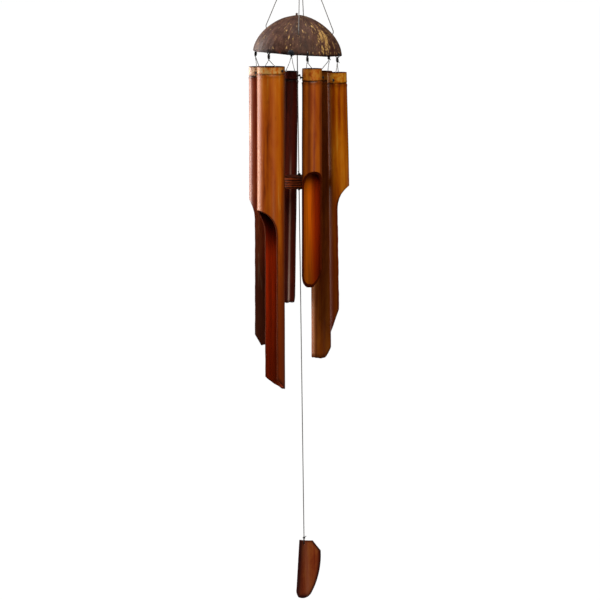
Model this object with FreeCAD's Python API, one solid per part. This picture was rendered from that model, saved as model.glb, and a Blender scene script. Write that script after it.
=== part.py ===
import FreeCAD, Part
import math
import os

from FreeCAD import Placement, Rotation, Vector

# Bamboo wind chime: six scooped bamboo tubes hung on nylon lines from half a coconut shell,
# with a wooden clapper on the centre cord and a split-bamboo wind catcher below it.
#
# Frame: the origin is the centre of the hanging ring's round bore, +Z is up, +X is to the
# right seen from the front and -Y is towards the front.  Azimuths are counted from the front
# (-Y) towards +X.  Lengths are in millimetres and angles in degrees.

# ---- hanging ring, its cord loop and the gather knot ----
RING_BORE_R = 9.0          # round part of the ring, where a hook goes
RING_THICK = 1.8
RING_WIDTH = 3.0
RING_EDGE = 0.4
RING_NECK_ANGLE = 42.0     # the sides leave the round part this far from straight down
RING_NECK_R = 2.0          # inner radius of the narrow bottom, where the cord loop sits
LOOP_CORD = 1.0
LOOP_TOP_R = 2.3
LOOP_END_R = 0.9
LOOP_LENGTH = 8.1
GATHER_R = 3.1
RUNNING_GAP = 0.2          # between pieces that turn against each other

# ---- coconut half shell ----
CENTRE_X = -3.6            # axis of the shell and of the circle of tubes
RIM_Z = -170.1
SHELL_R = 60.0
SHELL_H = 51.6
SHELL_POWER = 1.75         # roundness of the dome: 2 would be an ellipse
SHELL_WALL = 3.5
SHELL_TILT = 3.5           # right side lower
RIM_ROUND = 0.9

# ---- hanger cords, from the gather knot to four holes in the dome ----
HANGER_CORD = 1.2
HANGER_HOLE_R = 1.2
HANGER_HOLE_LEAN = 35.0    # hole axis, from straight down towards the shell's axis
HANGER_BEND_R = 2.5
HANGER_LIFT = 1.5          # the bend stands this far out of the dome
HANGER_KNOT_R = 2.0
HANGERS = {                # azimuth and height above the rim of each hole
    "front": (0.0, 28.0),
    "right": (90.0, 29.0),
    "back": (171.0, 29.0),
    "left": (270.0, 31.5),
}

# ---- black ties on the rim ----
TIE_HOLE_R = 0.9
TIE_HOLE_UP = 4.5          # above the rim's edge
TIE_CORD = 1.2
TIE_GAP = 0.2
TIE_CORNER_R = 1.1
TIE_KNOT_R = 2.1
TIE_KNOT_LENGTH = 7.4
TIE_DROP = 8.3             # from the rim's edge to the knot's lower end
FRONT_KNOT_AZIMUTH = -8.0
FRONT_KNOT_UP = 3.6
FRONT_KNOT_R = 4.1

# ---- tube lines ----
LINE_CORD = 1.0
LINE_HOLE_R = 1.1
LINE_RISE = 0.45           # the line bears near the top of its holes
LINE_BEND_R = 1.2
LINE_GAP = 0.3             # apex of the line below the tie's knot
STOP_KNOT_R = 1.7
STOP_KNOT_GAP = 0.15

# ---- bamboo tubes ----
SCOOP_R = 40.0             # radius of the drum that cuts each mouth
SEPTUM = 2.6
SEPTUM_ABOVE_NODE = 1.0
NODE_GROOVE = 0.5
NODE_RIDGE = 0.45
TOP_EDGE = 0.5
TUBES = {
    # tie: azimuth of the rim tie.  azimuth, distance: the tube's axis at its holes.
    # top: height of the upper end.  collar, holes, mouth, length: measured down from the top.
    # facing: azimuth that the mouth looks to.  flat: where the tongue is cut, over the radius.
    # bevel: how far the tongue's edges end above its tip, reach: how deep the bevel goes.
    # lean, lean_to: how far, and to which azimuth, the lower end hangs out of plumb.
    "front_left": dict(
        tie=-40.4, azimuth=-39.6, distance=54.5, radius=18.4, flare=1.0, wall=3.2,
        top=-185.4, collar=9.8, holes=5.2, mouth=190.5, length=433.5,
        facing=-62.0, turn=21.0, flat=0.0, bevel=16.0, reach=1.0, lean=0.0, lean_to=0.0,
    ),
    "left": dict(
        tie=-106.0, azimuth=-105.2, distance=53.3, radius=13.5, flare=1.0, wall=2.7,
        top=-188.2, collar=12.7, holes=7.6, mouth=177.4, length=376.0,
        facing=-105.0, turn=0.0, flat=0.2, bevel=15.0, reach=0.45, lean=0.0, lean_to=0.0,
    ),
    "back": dict(
        tie=188.0, azimuth=190.3, distance=55.9, radius=11.2, flare=1.0, wall=2.4,
        top=-196.3, collar=11.0, holes=5.8, mouth=140.0, length=315.7,
        facing=190.0, turn=0.0, flat=0.0, bevel=14.0, reach=0.6, lean=0.8, lean_to=-90.0,
    ),
    "front": dict(
        tie=13.3, azimuth=20.3, distance=56.0, radius=13.2, flare=1.02, wall=2.7,
        top=-187.4, collar=16.6, holes=11.8, mouth=135.4, length=294.0,
        facing=14.0, turn=0.0, flat=0.05, bevel=26.0, reach=1.0, lean=0.0, lean_to=0.0,
    ),
    "back_right": dict(
        tie=133.0, azimuth=140.1, distance=50.8, radius=14.6, flare=1.0, wall=2.8,
        top=-195.5, collar=12.6, holes=7.6, mouth=150.0, length=390.2,
        facing=135.0, turn=0.0, flat=0.2, bevel=15.0, reach=0.5, lean=0.2, lean_to=90.0,
    ),
    "right": dict(
        tie=66.0, azimuth=71.2, distance=55.8, radius=13.0, flare=1.15, wall=2.7,
        top=-194.2, collar=14.7, holes=9.6, mouth=150.6, length=353.1,
        facing=86.0, turn=-15.0, flat=-0.2, bevel=34.0, reach=1.0, lean=1.0, lean_to=90.0,
    ),
}

# ---- centre cord, clapper and wind catcher ----
CENTRE_CORD = 1.3
CENTRE_HOLE_X = -4.0       # from the shell's axis, in the shell's own frame
CENTRE_HOLE_R = 1.5
CENTRE_KNOT_R = 1.7
CENTRE_KNOT_LIFT = 1.0
CLAPPER_R = 26.0
CLAPPER_TOP = Vector(-1.2, 0, -334.3)
CLAPPER_THICK = 15.7
CLAPPER_EDGE = 1.6
CLAPPER_HOLE_R = 1.2
CLAPPER_KNOT_R = 2.2
CLAPPER_TAG = Vector(-1.6, -0.8, 4.4)
LOWER_KNOT_R = 1.9
CATCHER_KNOT = Vector(5.45, 0, -829.0)
CATCHER_KNOT_R = 1.9
CATCHER_LOOP_CORD = 0.9
CATCHER_LOOP_R = 3.0
CATCHER_LOOP_TOP = -829.4
CATCHER_PIVOT_Z = -836.9
CATCHER_HOLE_R = 0.9
CATCHER_HOLE_DROP = 0.25   # centre of the hole below the strand that bears in it
CATCHER_R = 24.0           # curvature of the split bamboo
CATCHER_WALL = 2.6
CATCHER_AXIS_X = 13.0
CATCHER_TOP = -832.6

UP = Vector(0, 0, 1)
RIM_CENTRE = Vector(CENTRE_X, 0, RIM_Z)
SHELL_FRAME = Placement(RIM_CENTRE, Rotation(Vector(0, 1, 0), SHELL_TILT))


def compass(azimuth):
    """Horizontal unit vector for an azimuth counted from the front towards +X."""
    a = math.radians(azimuth)
    return Vector(math.sin(a), -math.cos(a), 0)


def ball(centre, radius):
    return Part.makeSphere(radius, centre)


def rod(start, end, radius):
    run = end - start
    return Part.makeCylinder(radius, run.Length, start, run)


def rounded_path(points, bends, closed=False):
    """Straight runs joined by tangent arcs: one wire, a bend radius for each turning point."""
    count = len(points)
    turning = range(count) if closed else range(1, count - 1)
    entry = {}
    leave = {}
    arcs = {}
    for i in turning:
        here = points[i]
        back = (points[i - 1] - here).normalize()
        ahead = (points[(i + 1) % count] - here).normalize()
        half = back.getAngle(ahead) / 2
        reach = bends[i] / math.tan(half)
        inward = (back + ahead).normalize()
        centre = here + inward * (bends[i] / math.sin(half))
        entry[i] = here + back * reach
        leave[i] = here + ahead * reach
        arcs[i] = Part.Arc(entry[i], centre - inward * bends[i], leave[i])
    edges = []
    for i in range(count if closed else count - 1):
        j = (i + 1) % count
        if i in arcs:
            edges.append(arcs[i].toShape())
        edges.append(Part.LineSegment(leave.get(i, points[i]), entry.get(j, points[j])).toShape())
    return Part.Wire(edges)


def cord(points, bends, diameter, closed=False):
    """A round cord along rounded_path."""
    path = rounded_path(points, bends, closed)
    first = path.Edges[-1] if closed else path.Edges[0]
    at = first.valueAt((first.FirstParameter + first.LastParameter) / 2) if closed else points[0]
    along = first.tangentAt(first.FirstParameter)
    section = Part.Wire(Part.Circle(at, along, diameter / 2).toShape())
    if closed:
        # start the sweep in the middle of the last straight run
        start, end = first.valueAt(first.FirstParameter), first.valueAt(first.LastParameter)
        edges = [Part.LineSegment(at, end).toShape()]
        edges += path.Edges[:-1]
        edges.append(Part.LineSegment(start, at).toShape())
        path = Part.Wire(edges)
    return path.makePipeShell([section], True, False)


def belt_points(upper, lower, upper_r, lower_r):
    """Corner points of a closed loop round two circles stacked in the YZ plane."""
    span = (upper - lower).Length
    lean = math.asin((upper_r - lower_r) / span)
    top = upper_r * (1 + math.sin(lean)) / math.cos(lean)
    bottom = lower_r * (1 - math.sin(lean)) / math.cos(lean)
    return [
        upper + Vector(0, -top, upper_r),
        upper + Vector(0, top, upper_r),
        lower + Vector(0, bottom, -lower_r),
        lower + Vector(0, -bottom, -lower_r),
    ]


# ---------------------------------------------------------------- hanging ring and loop

RING_SEAT_Z = -((RING_BORE_R - RING_NECK_R) / math.cos(math.radians(RING_NECK_ANGLE)) + RING_NECK_R)
LOOP_PIVOT = Vector(0, 0, RING_SEAT_Z - RING_THICK / 2)
LOOP_FOOT = LOOP_PIVOT - UP * LOOP_LENGTH
GATHER = LOOP_FOOT - UP * (LOOP_END_R + LOOP_CORD / 2 + RUNNING_GAP + GATHER_R)


def teardrop(grow):
    """The ring's outline: a round bore whose sides run down tangent to a narrow bottom."""
    round_r = RING_BORE_R + grow
    neck_r = RING_NECK_R + grow
    a = math.radians(RING_NECK_ANGLE)
    neck = Vector(0, 0, RING_SEAT_Z + RING_NECK_R)
    right = Vector(math.sin(a), 0, -math.cos(a))
    left = Vector(-math.sin(a), 0, -math.cos(a))
    edges = [
        Part.Arc(right * round_r, UP * round_r, left * round_r).toShape(),
        Part.LineSegment(left * round_r, neck + left * neck_r).toShape(),
        Part.Arc(neck + left * neck_r, neck - UP * neck_r, neck + right * neck_r).toShape(),
        Part.LineSegment(neck + right * neck_r, right * round_r).toShape(),
    ]
    return Part.Wire(edges)


def hanging_ring():
    face = Part.Face(teardrop(RING_THICK)).cut(Part.Face(teardrop(0)))
    face.translate(Vector(0, -RING_WIDTH / 2, 0))
    ring = face.extrude(Vector(0, RING_WIDTH, 0))
    side_edges = [e for e in ring.Edges if abs(abs(e.CenterOfMass.y) - RING_WIDTH / 2) < 0.01]
    return ring.makeFillet(RING_EDGE, side_edges)


def ring_loop():
    points = belt_points(LOOP_PIVOT, LOOP_FOOT, LOOP_TOP_R, LOOP_END_R)
    bends = [LOOP_TOP_R * 0.98, LOOP_TOP_R * 0.98, LOOP_END_R * 0.98, LOOP_END_R * 0.98]
    return cord(points, bends, LOOP_CORD, closed=True)


# ---------------------------------------------------------------- coconut shell

def dome_radius(height, inset=0.0):
    """Radius of the dome at a height above the rim; inset gives the inner face."""
    rise = min(height / (SHELL_H - inset), 1.0)
    return (SHELL_R - inset) * (1 - rise ** SHELL_POWER) ** (1 / SHELL_POWER)


def dome_height(radius, inset=0.0):
    part = min(radius / (SHELL_R - inset), 1.0)
    return (SHELL_H - inset) * (1 - part ** SHELL_POWER) ** (1 / SHELL_POWER)


def dome_curve(inset, base):
    """Half outline of the dome in the XZ plane, from the rim up to the axis."""
    steps = 10
    points = []
    for i in range(steps + 1):
        turn = math.radians(90.0 * i / steps)
        across = math.cos(turn) ** (2 / SHELL_POWER)
        rise = math.sin(turn) ** (2 / SHELL_POWER)
        points.append(Vector((SHELL_R - inset) * across, 0, base + (SHELL_H - inset - base) * rise))
    points[-1].x = 0.0
    spline = Part.BSplineCurve()
    spline.interpolate(points, InitialTangent=Vector(0, 0, 1), FinalTangent=Vector(-1, 0, 0))
    return spline.toShape(), points[0], points[-1]


def hanger_hole(name):
    """Outer mouth of a hanger hole and the direction in which the cord goes in."""
    azimuth, height = HANGERS[name]
    mouth = compass(azimuth) * dome_radius(height) + UP * height
    lean = math.radians(HANGER_HOLE_LEAN)
    inward = compass(azimuth) * -math.sin(lean) - UP * math.cos(lean)
    return SHELL_FRAME.multVec(mouth), SHELL_FRAME.Rotation.multVec(inward)


def rim_point(azimuth, height=0.0):
    """A point in the middle of the shell's wall, above the rim's edge."""
    return SHELL_FRAME.multVec(compass(azimuth) * (SHELL_R - SHELL_WALL / 2) + UP * height)


CENTRE_HOLE = SHELL_FRAME.multVec(Vector(CENTRE_HOLE_X, 0, dome_height(-CENTRE_HOLE_X)))
CENTRE_PIVOT = CENTRE_HOLE + UP * CENTRE_KNOT_LIFT


def coconut_shell():
    outer, outer_rim, outer_top = dome_curve(0.0, 0.0)
    inner, inner_rim, inner_top = dome_curve(SHELL_WALL, 0.0)
    rim = Part.LineSegment(inner_rim, outer_rim).toShape()
    axis = Part.LineSegment(outer_top, inner_top).toShape()
    half = Part.Face(Part.Wire([rim, outer, axis, inner]))
    dome = half.revolve(Vector(0, 0, 0), UP, 360)
    edges = [e for e in dome.Edges if abs(e.CenterOfMass.z) < 0.01 and e.Length > SHELL_R]
    dome = dome.makeFillet(RIM_ROUND, edges)
    dome.Placement = SHELL_FRAME
    for name in HANGERS:
        mouth, inward = hanger_hole(name)
        dome = dome.cut(rod(mouth - inward * 4, mouth + inward * 9, HANGER_HOLE_R))
    for azimuth in [t["tie"] for t in TUBES.values()] + [FRONT_KNOT_AZIMUTH]:
        up = FRONT_KNOT_UP if azimuth == FRONT_KNOT_AZIMUTH else TIE_HOLE_UP
        across = SHELL_FRAME.Rotation.multVec(compass(azimuth)) * 5
        at = rim_point(azimuth, up)
        dome = dome.cut(rod(at - across, at + across, TIE_HOLE_R))
    return dome.cut(rod(CENTRE_HOLE + UP * 4, CENTRE_HOLE - UP * 8, CENTRE_HOLE_R))


# ---------------------------------------------------------------- hanger cords and their knots

def hanger_points(name):
    mouth, inward = hanger_hole(name)
    bend = mouth - inward * HANGER_LIFT
    start = GATHER + (bend - GATHER).normalize() * (GATHER_R + RUNNING_GAP)
    return [start, bend, hanger_knot_centre(name)]


def hanger_knot_centre(name):
    mouth, inward = hanger_hole(name)
    return mouth + inward * (SHELL_WALL + HANGER_KNOT_R + 0.35)


def hanger_cord(name):
    return cord(hanger_points(name), {1: HANGER_BEND_R}, HANGER_CORD)


# ---------------------------------------------------------------- rim ties

def rim_tie(azimuth):
    """A black cord through a hole in the rim and round its edge, drawn into a long knot."""
    out = SHELL_FRAME.Rotation.multVec(compass(azimuth))
    up = SHELL_FRAME.Rotation.multVec(UP)
    half = SHELL_WALL / 2 + TIE_GAP + TIE_CORD / 2
    low = rim_point(azimuth, 0) - up * (TIE_GAP + TIE_CORD / 2)
    high = rim_point(azimuth, TIE_HOLE_UP)
    points = [high - out * half, high + out * half, low + out * half, low - out * half]
    stitch = cord(points, [TIE_CORNER_R] * 4, TIE_CORD, closed=True)
    foot = tie_foot(azimuth)
    knot = ball(Vector(0, 0, 0), 1.0)
    matrix = FreeCAD.Matrix()
    matrix.scale(TIE_KNOT_R, TIE_KNOT_R, TIE_KNOT_LENGTH / 2)
    knot = knot.transformGeometry(matrix)
    knot.translate(foot + UP * (TIE_KNOT_LENGTH / 2))
    return stitch.fuse(knot)


def tie_foot(azimuth):
    return rim_point(azimuth) - UP * TIE_DROP


def front_knot():
    """The knot on the front of the rim, with its stem through the wall and a stop inside."""
    out = SHELL_FRAME.Rotation.multVec(compass(FRONT_KNOT_AZIMUTH))
    at = rim_point(FRONT_KNOT_AZIMUTH, FRONT_KNOT_UP)
    face = SHELL_WALL / 2 + TIE_GAP
    outside = at + out * (face + FRONT_KNOT_R)
    inside = at - out * (face + TIE_KNOT_R)
    stem = rod(inside, outside, TIE_CORD / 2)
    return ball(outside, FRONT_KNOT_R).fuse([stem, ball(inside, TIE_KNOT_R)])


# ---------------------------------------------------------------- bamboo tubes

def tube_frame(t):
    """Tube's own frame: origin on its axis at its upper end, +X the way the mouth faces."""
    at_holes = Vector(CENTRE_X, 0, t["top"] - t["holes"]) + compass(t["azimuth"]) * t["distance"]
    lean_axis = compass(t["lean_to"] + 90)
    lean = Rotation(lean_axis, -t["lean"])
    turn = Rotation(UP, t["facing"] - 90)
    frame = Placement(at_holes, lean.multiply(turn))
    return frame.multiply(Placement(UP * t["holes"], Rotation()))


def hole_axis(t):
    """Direction of the two line holes, in the tube's own frame."""
    a = math.radians(90 + t["turn"])
    return Vector(math.cos(a), math.sin(a), 0)


def tube_profile(t):
    """Half section of the whole tube: collar, node with its septum, and long barrel."""
    r = t["radius"]
    low_r = r * t["flare"]
    bore = r - t["wall"]
    low_bore = low_r - t["wall"]
    node = -t["collar"]
    end = -t["length"]
    septum_top = node + SEPTUM_ABOVE_NODE
    septum_low = septum_top - SEPTUM
    groove = Vector(r - NODE_GROOVE, 0, node)
    ridge = Vector(r + NODE_RIDGE, 0, node - 2.4)
    outline = [
        Part.LineSegment(Vector(bore, 0, 0), Vector(r - TOP_EDGE, 0, 0)),
        Part.Arc(
            Vector(r - TOP_EDGE, 0, 0),
            Vector(r - TOP_EDGE * (1 - math.sqrt(0.5)), 0, -TOP_EDGE * (1 - math.sqrt(0.5))),
            Vector(r, 0, -TOP_EDGE),
        ),
        Part.LineSegment(Vector(r, 0, -TOP_EDGE), Vector(r, 0, node + 1.2)),
        Part.Arc(Vector(r, 0, node + 1.2), groove, ridge + Vector(-0.15, 0, 1.2)),
        Part.Arc(ridge + Vector(-0.15, 0, 1.2), ridge, Vector(r, 0, node - 5.5)),
        Part.LineSegment(Vector(r, 0, node - 5.5), Vector(low_r, 0, end)),
        Part.LineSegment(Vector(low_r, 0, end), Vector(low_bore, 0, end)),
        Part.LineSegment(Vector(low_bore, 0, end), Vector(bore, 0, septum_low)),
        Part.LineSegment(Vector(bore, 0, septum_low), Vector(0, 0, septum_low)),
        Part.LineSegment(Vector(0, 0, septum_low), Vector(0, 0, septum_top)),
        Part.LineSegment(Vector(0, 0, septum_top), Vector(bore, 0, septum_top)),
        Part.LineSegment(Vector(bore, 0, septum_top), Vector(bore, 0, 0)),
    ]
    return Part.Face(Part.Wire([c.toShape() for c in outline]))


def slab(wire_points, arc_at, half_width):
    """A prism across the tube from an outline in its XZ plane; arc_at holds an arc's mid point."""
    edges = []
    count = len(wire_points)
    for i in range(count):
        start, end = wire_points[i], wire_points[(i + 1) % count]
        middle = arc_at.get(i)
        piece = Part.Arc(start, middle, end) if middle else Part.LineSegment(start, end)
        edges.append(piece.toShape())
    face = Part.Face(Part.Wire(edges))
    face.translate(Vector(0, -half_width, 0))
    return face.extrude(Vector(0, 2 * half_width, 0))


def mouth_scoop(t):
    """The cut that opens the tube: a drum's arc that runs into a flat cut down the tongue."""
    r = t["radius"] * t["flare"]
    flat = t["flat"] * r
    depth = r - flat
    rise = math.sqrt(2 * SCOOP_R * depth - depth * depth)
    arc_foot = -t["mouth"] - rise
    outside = r + 4.0

    def on_arc(x):
        over = x - flat
        return Vector(x, 0, arc_foot + math.sqrt(2 * SCOOP_R * over - over * over))

    bottom = -t["length"] - 5.0
    points = [
        Vector(flat, 0, bottom),
        Vector(flat, 0, arc_foot),
        on_arc(outside),
        Vector(outside, 0, bottom),
    ]
    return slab(points, {1: on_arc(flat + (outside - flat) * 0.3)}, r + 4.0)


def tongue_bevel(t):
    """The slanting cut at the tongue's end: its tip is the far side, its two edges end higher."""
    r = t["radius"] * t["flare"]
    flat = t["flat"] * r
    tip = -r * t["reach"]
    slope = t["bevel"] / (flat - tip)
    outside = r + 5.0
    low = -t["length"]
    points = [
        Vector(tip, 0, low),
        Vector(outside, 0, low + slope * (outside - tip)),
        Vector(outside, 0, low - 5.0),
        Vector(tip, 0, low - 5.0),
    ]
    return slab(points, {}, r + 4.0)


def bamboo_tube(t):
    tube = tube_profile(t).revolve(Vector(0, 0, 0), UP, 360)
    tube = tube.cut(mouth_scoop(t)).cut(tongue_bevel(t))
    across = hole_axis(t) * (t["radius"] + 3)
    level = UP * -(t["holes"] + LINE_RISE)
    tube = tube.cut(rod(level - across, level + across, LINE_HOLE_R))
    tube.Placement = tube_frame(t)
    return tube


# ---------------------------------------------------------------- tube lines and stopper knots

def line_ends(t):
    """Centre of each stopper knot and the line's bend inside the collar, in the world frame."""
    frame = tube_frame(t)
    level = UP * -t["holes"]
    reach = t["radius"] + STOP_KNOT_GAP + STOP_KNOT_R
    bend = t["radius"] - t["wall"] - LINE_BEND_R * 0.6
    axis = hole_axis(t)
    knots = [frame.multVec(level + axis * (side * reach)) for side in (-1, 1)]
    bends = [frame.multVec(level + axis * (side * bend)) for side in (-1, 1)]
    return knots, bends


def line_apex(t):
    return tie_foot(t["tie"]) - UP * LINE_GAP


def line_points(t):
    knots, bends = line_ends(t)
    apex = line_apex(t) - UP * (LINE_CORD / 2)
    return [knots[0], bends[0], apex, bends[1], knots[1]]


def tube_line(t):
    radii = {1: LINE_BEND_R, 2: LINE_BEND_R, 3: LINE_BEND_R}
    return cord(line_points(t), radii, LINE_CORD)


def stopper_knots(t):
    return Part.makeCompound([ball(centre, STOP_KNOT_R) for centre in line_ends(t)[0]])


# ---------------------------------------------------------------- centre cord and clapper

CLAPPER_FOOT = CLAPPER_TOP - UP * CLAPPER_THICK
LOWER_PIVOT = CLAPPER_FOOT - UP * (LOWER_KNOT_R + RUNNING_GAP)


def upper_cord():
    run = (CLAPPER_TOP - CENTRE_PIVOT).normalize()
    start = CENTRE_PIVOT + run * (CENTRE_KNOT_R + RUNNING_GAP)
    return rod(start, CLAPPER_FOOT, CENTRE_CORD / 2)


def clapper_knot():
    """The knot on top of the clapper, with the short tag end that was left on it."""
    centre = CLAPPER_TOP + UP * (CLAPPER_KNOT_R + 0.05)
    tag = rod(centre, centre + CLAPPER_TAG, CENTRE_CORD / 2)
    return ball(centre, CLAPPER_KNOT_R).fuse(tag)


def clapper():
    disc = Part.makeCylinder(CLAPPER_R, CLAPPER_THICK, CLAPPER_FOOT)
    rims = [e for e in disc.Edges if e.Length > CLAPPER_R and not e.isSeam(disc.Faces[0])]
    disc = disc.makeFillet(CLAPPER_EDGE, rims)
    return disc.cut(rod(CLAPPER_FOOT - UP * 2, CLAPPER_TOP + UP * 2, CLAPPER_HOLE_R))


def lower_cord():
    run = (CATCHER_KNOT - LOWER_PIVOT).normalize()
    start = LOWER_PIVOT + run * (LOWER_KNOT_R + RUNNING_GAP)
    end = CATCHER_KNOT - run * (CATCHER_KNOT_R + RUNNING_GAP)
    return rod(start, end, CENTRE_CORD / 2)


# ---------------------------------------------------------------- wind catcher

CATCHER_PIVOT = Vector(CATCHER_KNOT.x, 0, CATCHER_PIVOT_Z)


def catcher_knot():
    """The knot that ends the centre cord, with its loop through the catcher's hole."""
    half = Vector(0, CATCHER_LOOP_R, 0)
    top = Vector(CATCHER_KNOT.x, 0, CATCHER_LOOP_TOP)
    points = [top - half, top + half, CATCHER_PIVOT + half, CATCHER_PIVOT - half]
    round_top = CATCHER_LOOP_R * 0.98
    loop = cord(points, [round_top, round_top, 1.0, 1.0], CATCHER_LOOP_CORD, closed=True)
    return ball(CATCHER_KNOT, CATCHER_KNOT_R).fuse(loop)


def catcher_outline():
    """The catcher's face seen from the front: a blade with one shoulder and a round foot."""
    left_top = Vector(-1.0, 0, CATCHER_TOP)
    right_top = Vector(17.4, 0, CATCHER_TOP)
    shoulder = Vector(28.3, 0, -847.6)
    right_low = Vector(15.4, 0, -905.8)
    foot = Vector(-2.0, 0, -913.0)
    left_low = Vector(-4.8, 0, -901.5)
    edges = [
        Part.LineSegment(left_top, right_top),
        Part.LineSegment(right_top, shoulder),
        Part.Arc(shoulder, Vector(26.2, 0, -876.5), right_low),
        Part.Arc(right_low, Vector(7.0, 0, -912.6), foot),
        Part.Arc(foot, Vector(-4.6, 0, -908.2), left_low),
        Part.LineSegment(left_low, left_top),
    ]
    return Part.Face(Part.Wire([e.toShape() for e in edges]))


def wind_catcher():
    middle_r = CATCHER_R - CATCHER_WALL / 2
    side = CATCHER_AXIS_X - CATCHER_KNOT.x
    axis_y = math.sqrt(middle_r ** 2 - side ** 2)
    foot = Vector(CATCHER_AXIS_X, axis_y, CATCHER_TOP - 100)
    bark = Part.makeCylinder(CATCHER_R, 110, foot)
    core = Part.makeCylinder(CATCHER_R - CATCHER_WALL, 110, foot)
    face = catcher_outline()
    face.translate(Vector(0, axis_y - CATCHER_R - 2, 0))
    blade = bark.cut(core).common(face.extrude(Vector(0, CATCHER_R - 2, 0)))
    hole = CATCHER_PIVOT - UP * CATCHER_HOLE_DROP
    reach = Vector(0, 12, 0)
    return blade.cut(rod(hole - reach, hole + reach, CATCHER_HOLE_R))


# ---------------------------------------------------------------- the assembly

def build():
    """Every piece by name."""
    pieces = {
        "hanging_ring": hanging_ring(),
        "ring_loop": ring_loop(),
        "gather_knot": ball(GATHER, GATHER_R),
        "coconut_shell": coconut_shell(),
        "front_knot": front_knot(),
        "centre_knot": ball(CENTRE_PIVOT, CENTRE_KNOT_R),
        "upper_cord": upper_cord(),
        "clapper_knot": clapper_knot(),
        "clapper": clapper(),
        "lower_knot": ball(LOWER_PIVOT, LOWER_KNOT_R),
        "lower_cord": lower_cord(),
        "catcher_knot": catcher_knot(),
        "wind_catcher": wind_catcher(),
    }
    for name in HANGERS:
        pieces["hanger_cord_" + name] = hanger_cord(name)
        pieces["hanger_knot_" + name] = ball(hanger_knot_centre(name), HANGER_KNOT_R)
    for name, t in TUBES.items():
        pieces["rim_tie_" + name] = rim_tie(t["tie"])
        pieces["tube_line_" + name] = tube_line(t)
        pieces["stopper_knots_" + name] = stopper_knots(t)
        pieces["bamboo_tube_" + name] = bamboo_tube(t)
    return pieces


def main():
    os.makedirs("parts", exist_ok=True)
    for name, shape in build().items():
        box = shape.BoundBox
        print(
            f"{name:28s} valid {shape.isValid()} solids {len(shape.Solids)} "
            f"volume {shape.Volume:10.1f} z {box.ZMin:8.1f} {box.ZMax:8.1f}"
        )
        shape.exportStep("parts/" + name + ".step")
    print("hanger bend radius", HANGER_BEND_R, "line bend radius", LINE_BEND_R)


main()
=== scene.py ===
from math import acos, atan2, copysign, cos, degrees, hypot, pi, radians, sin, sqrt

import bmesh
import bpy
import numpy as np
from mathutils import Matrix, Vector


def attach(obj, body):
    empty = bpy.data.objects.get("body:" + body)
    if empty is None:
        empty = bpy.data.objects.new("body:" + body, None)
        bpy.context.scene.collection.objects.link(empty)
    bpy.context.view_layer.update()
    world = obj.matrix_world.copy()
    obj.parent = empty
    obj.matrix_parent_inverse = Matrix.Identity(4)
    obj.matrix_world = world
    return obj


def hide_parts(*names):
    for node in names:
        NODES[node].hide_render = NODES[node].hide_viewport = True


# Bamboo wind chime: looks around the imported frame.  Studio and cord routes are in metres, the rest
# in millimetres until a mesh is made.  Azimuths are counted from the front (-Y) towards +X.

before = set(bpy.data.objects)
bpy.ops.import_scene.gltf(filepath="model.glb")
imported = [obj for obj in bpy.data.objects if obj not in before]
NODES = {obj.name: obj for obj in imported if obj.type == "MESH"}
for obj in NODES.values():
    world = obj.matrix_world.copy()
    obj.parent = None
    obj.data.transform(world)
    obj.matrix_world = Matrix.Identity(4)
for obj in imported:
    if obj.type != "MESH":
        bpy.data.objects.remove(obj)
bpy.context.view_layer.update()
MM = 0.001
TURN = 2 * pi
SCENE = bpy.context.scene


def compass(azimuth):
    a = radians(azimuth)
    return Vector((sin(a), -cos(a), 0.0))


def add(name, data, at=(0.0, 0.0, 0.0)):
    obj = bpy.data.objects.new(name, data)
    obj.location = at
    SCENE.collection.objects.link(obj)
    return obj


# ------------ camera, light and floor

LENS = 179.1
CAMERA_AT = (0.0, -3.997, 0.012)
CAMERA_PITCH = 7.33
FLOOR_Z = -1.25
FLOOR_HALF = 40.0
FLOOR_GLOW = 1.01
BACKDROP = (1.0, (1.0, 1.0, 1.0, 1.0))
FILL = (0.08, (1.0, 0.96, 0.93, 1.0))
LAMPS = {   # azimuth, distance, height, size, radiance, colour, height that it looks at
    "key_left": (-116.0, 2.1, -0.1, (1.7, 2.0), 10.5, (1.0, 0.91, 0.86), -0.35),
    "front": (20.0, 2.3, 1.45, (2.6, 2.0), 6.2, (1.0, 0.91, 0.76), -0.35),
    "front_strip": (22.0, 3.0, -1.1, (0.35, 1.0), 12.0, (1.0, 0.88, 0.76), -0.35),
    "top": (180.0, 0.2, 2.2, (1.2, 1.2), 9.0, (1.0, 0.98, 0.95), -0.2),
}


def camera():
    data = bpy.data.cameras.new("camera")
    data.sensor_width = 36.0
    data.lens = LENS
    data.clip_start = 0.05
    data.clip_end = 200.0
    obj = add("camera", data, CAMERA_AT)
    obj.rotation_euler = (radians(90.0 - CAMERA_PITCH), 0.0, 0.0)
    SCENE.camera = obj


def lamps():
    for name, (azimuth, distance, height, size, radiance, colour, aim) in LAMPS.items():
        data = bpy.data.lights.new(name, "AREA")
        data.shape = "RECTANGLE"
        data.size, data.size_y = size
        data.energy = radiance * pi * size[0] * size[1]
        data.color = colour
        obj = add(name, data, compass(azimuth) * distance + Vector((0.0, 0.0, height)))
        look = Vector((0.0, 0.0, aim)) - obj.location
        obj.rotation_euler = look.to_track_quat("-Z", "Y").to_euler()


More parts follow.
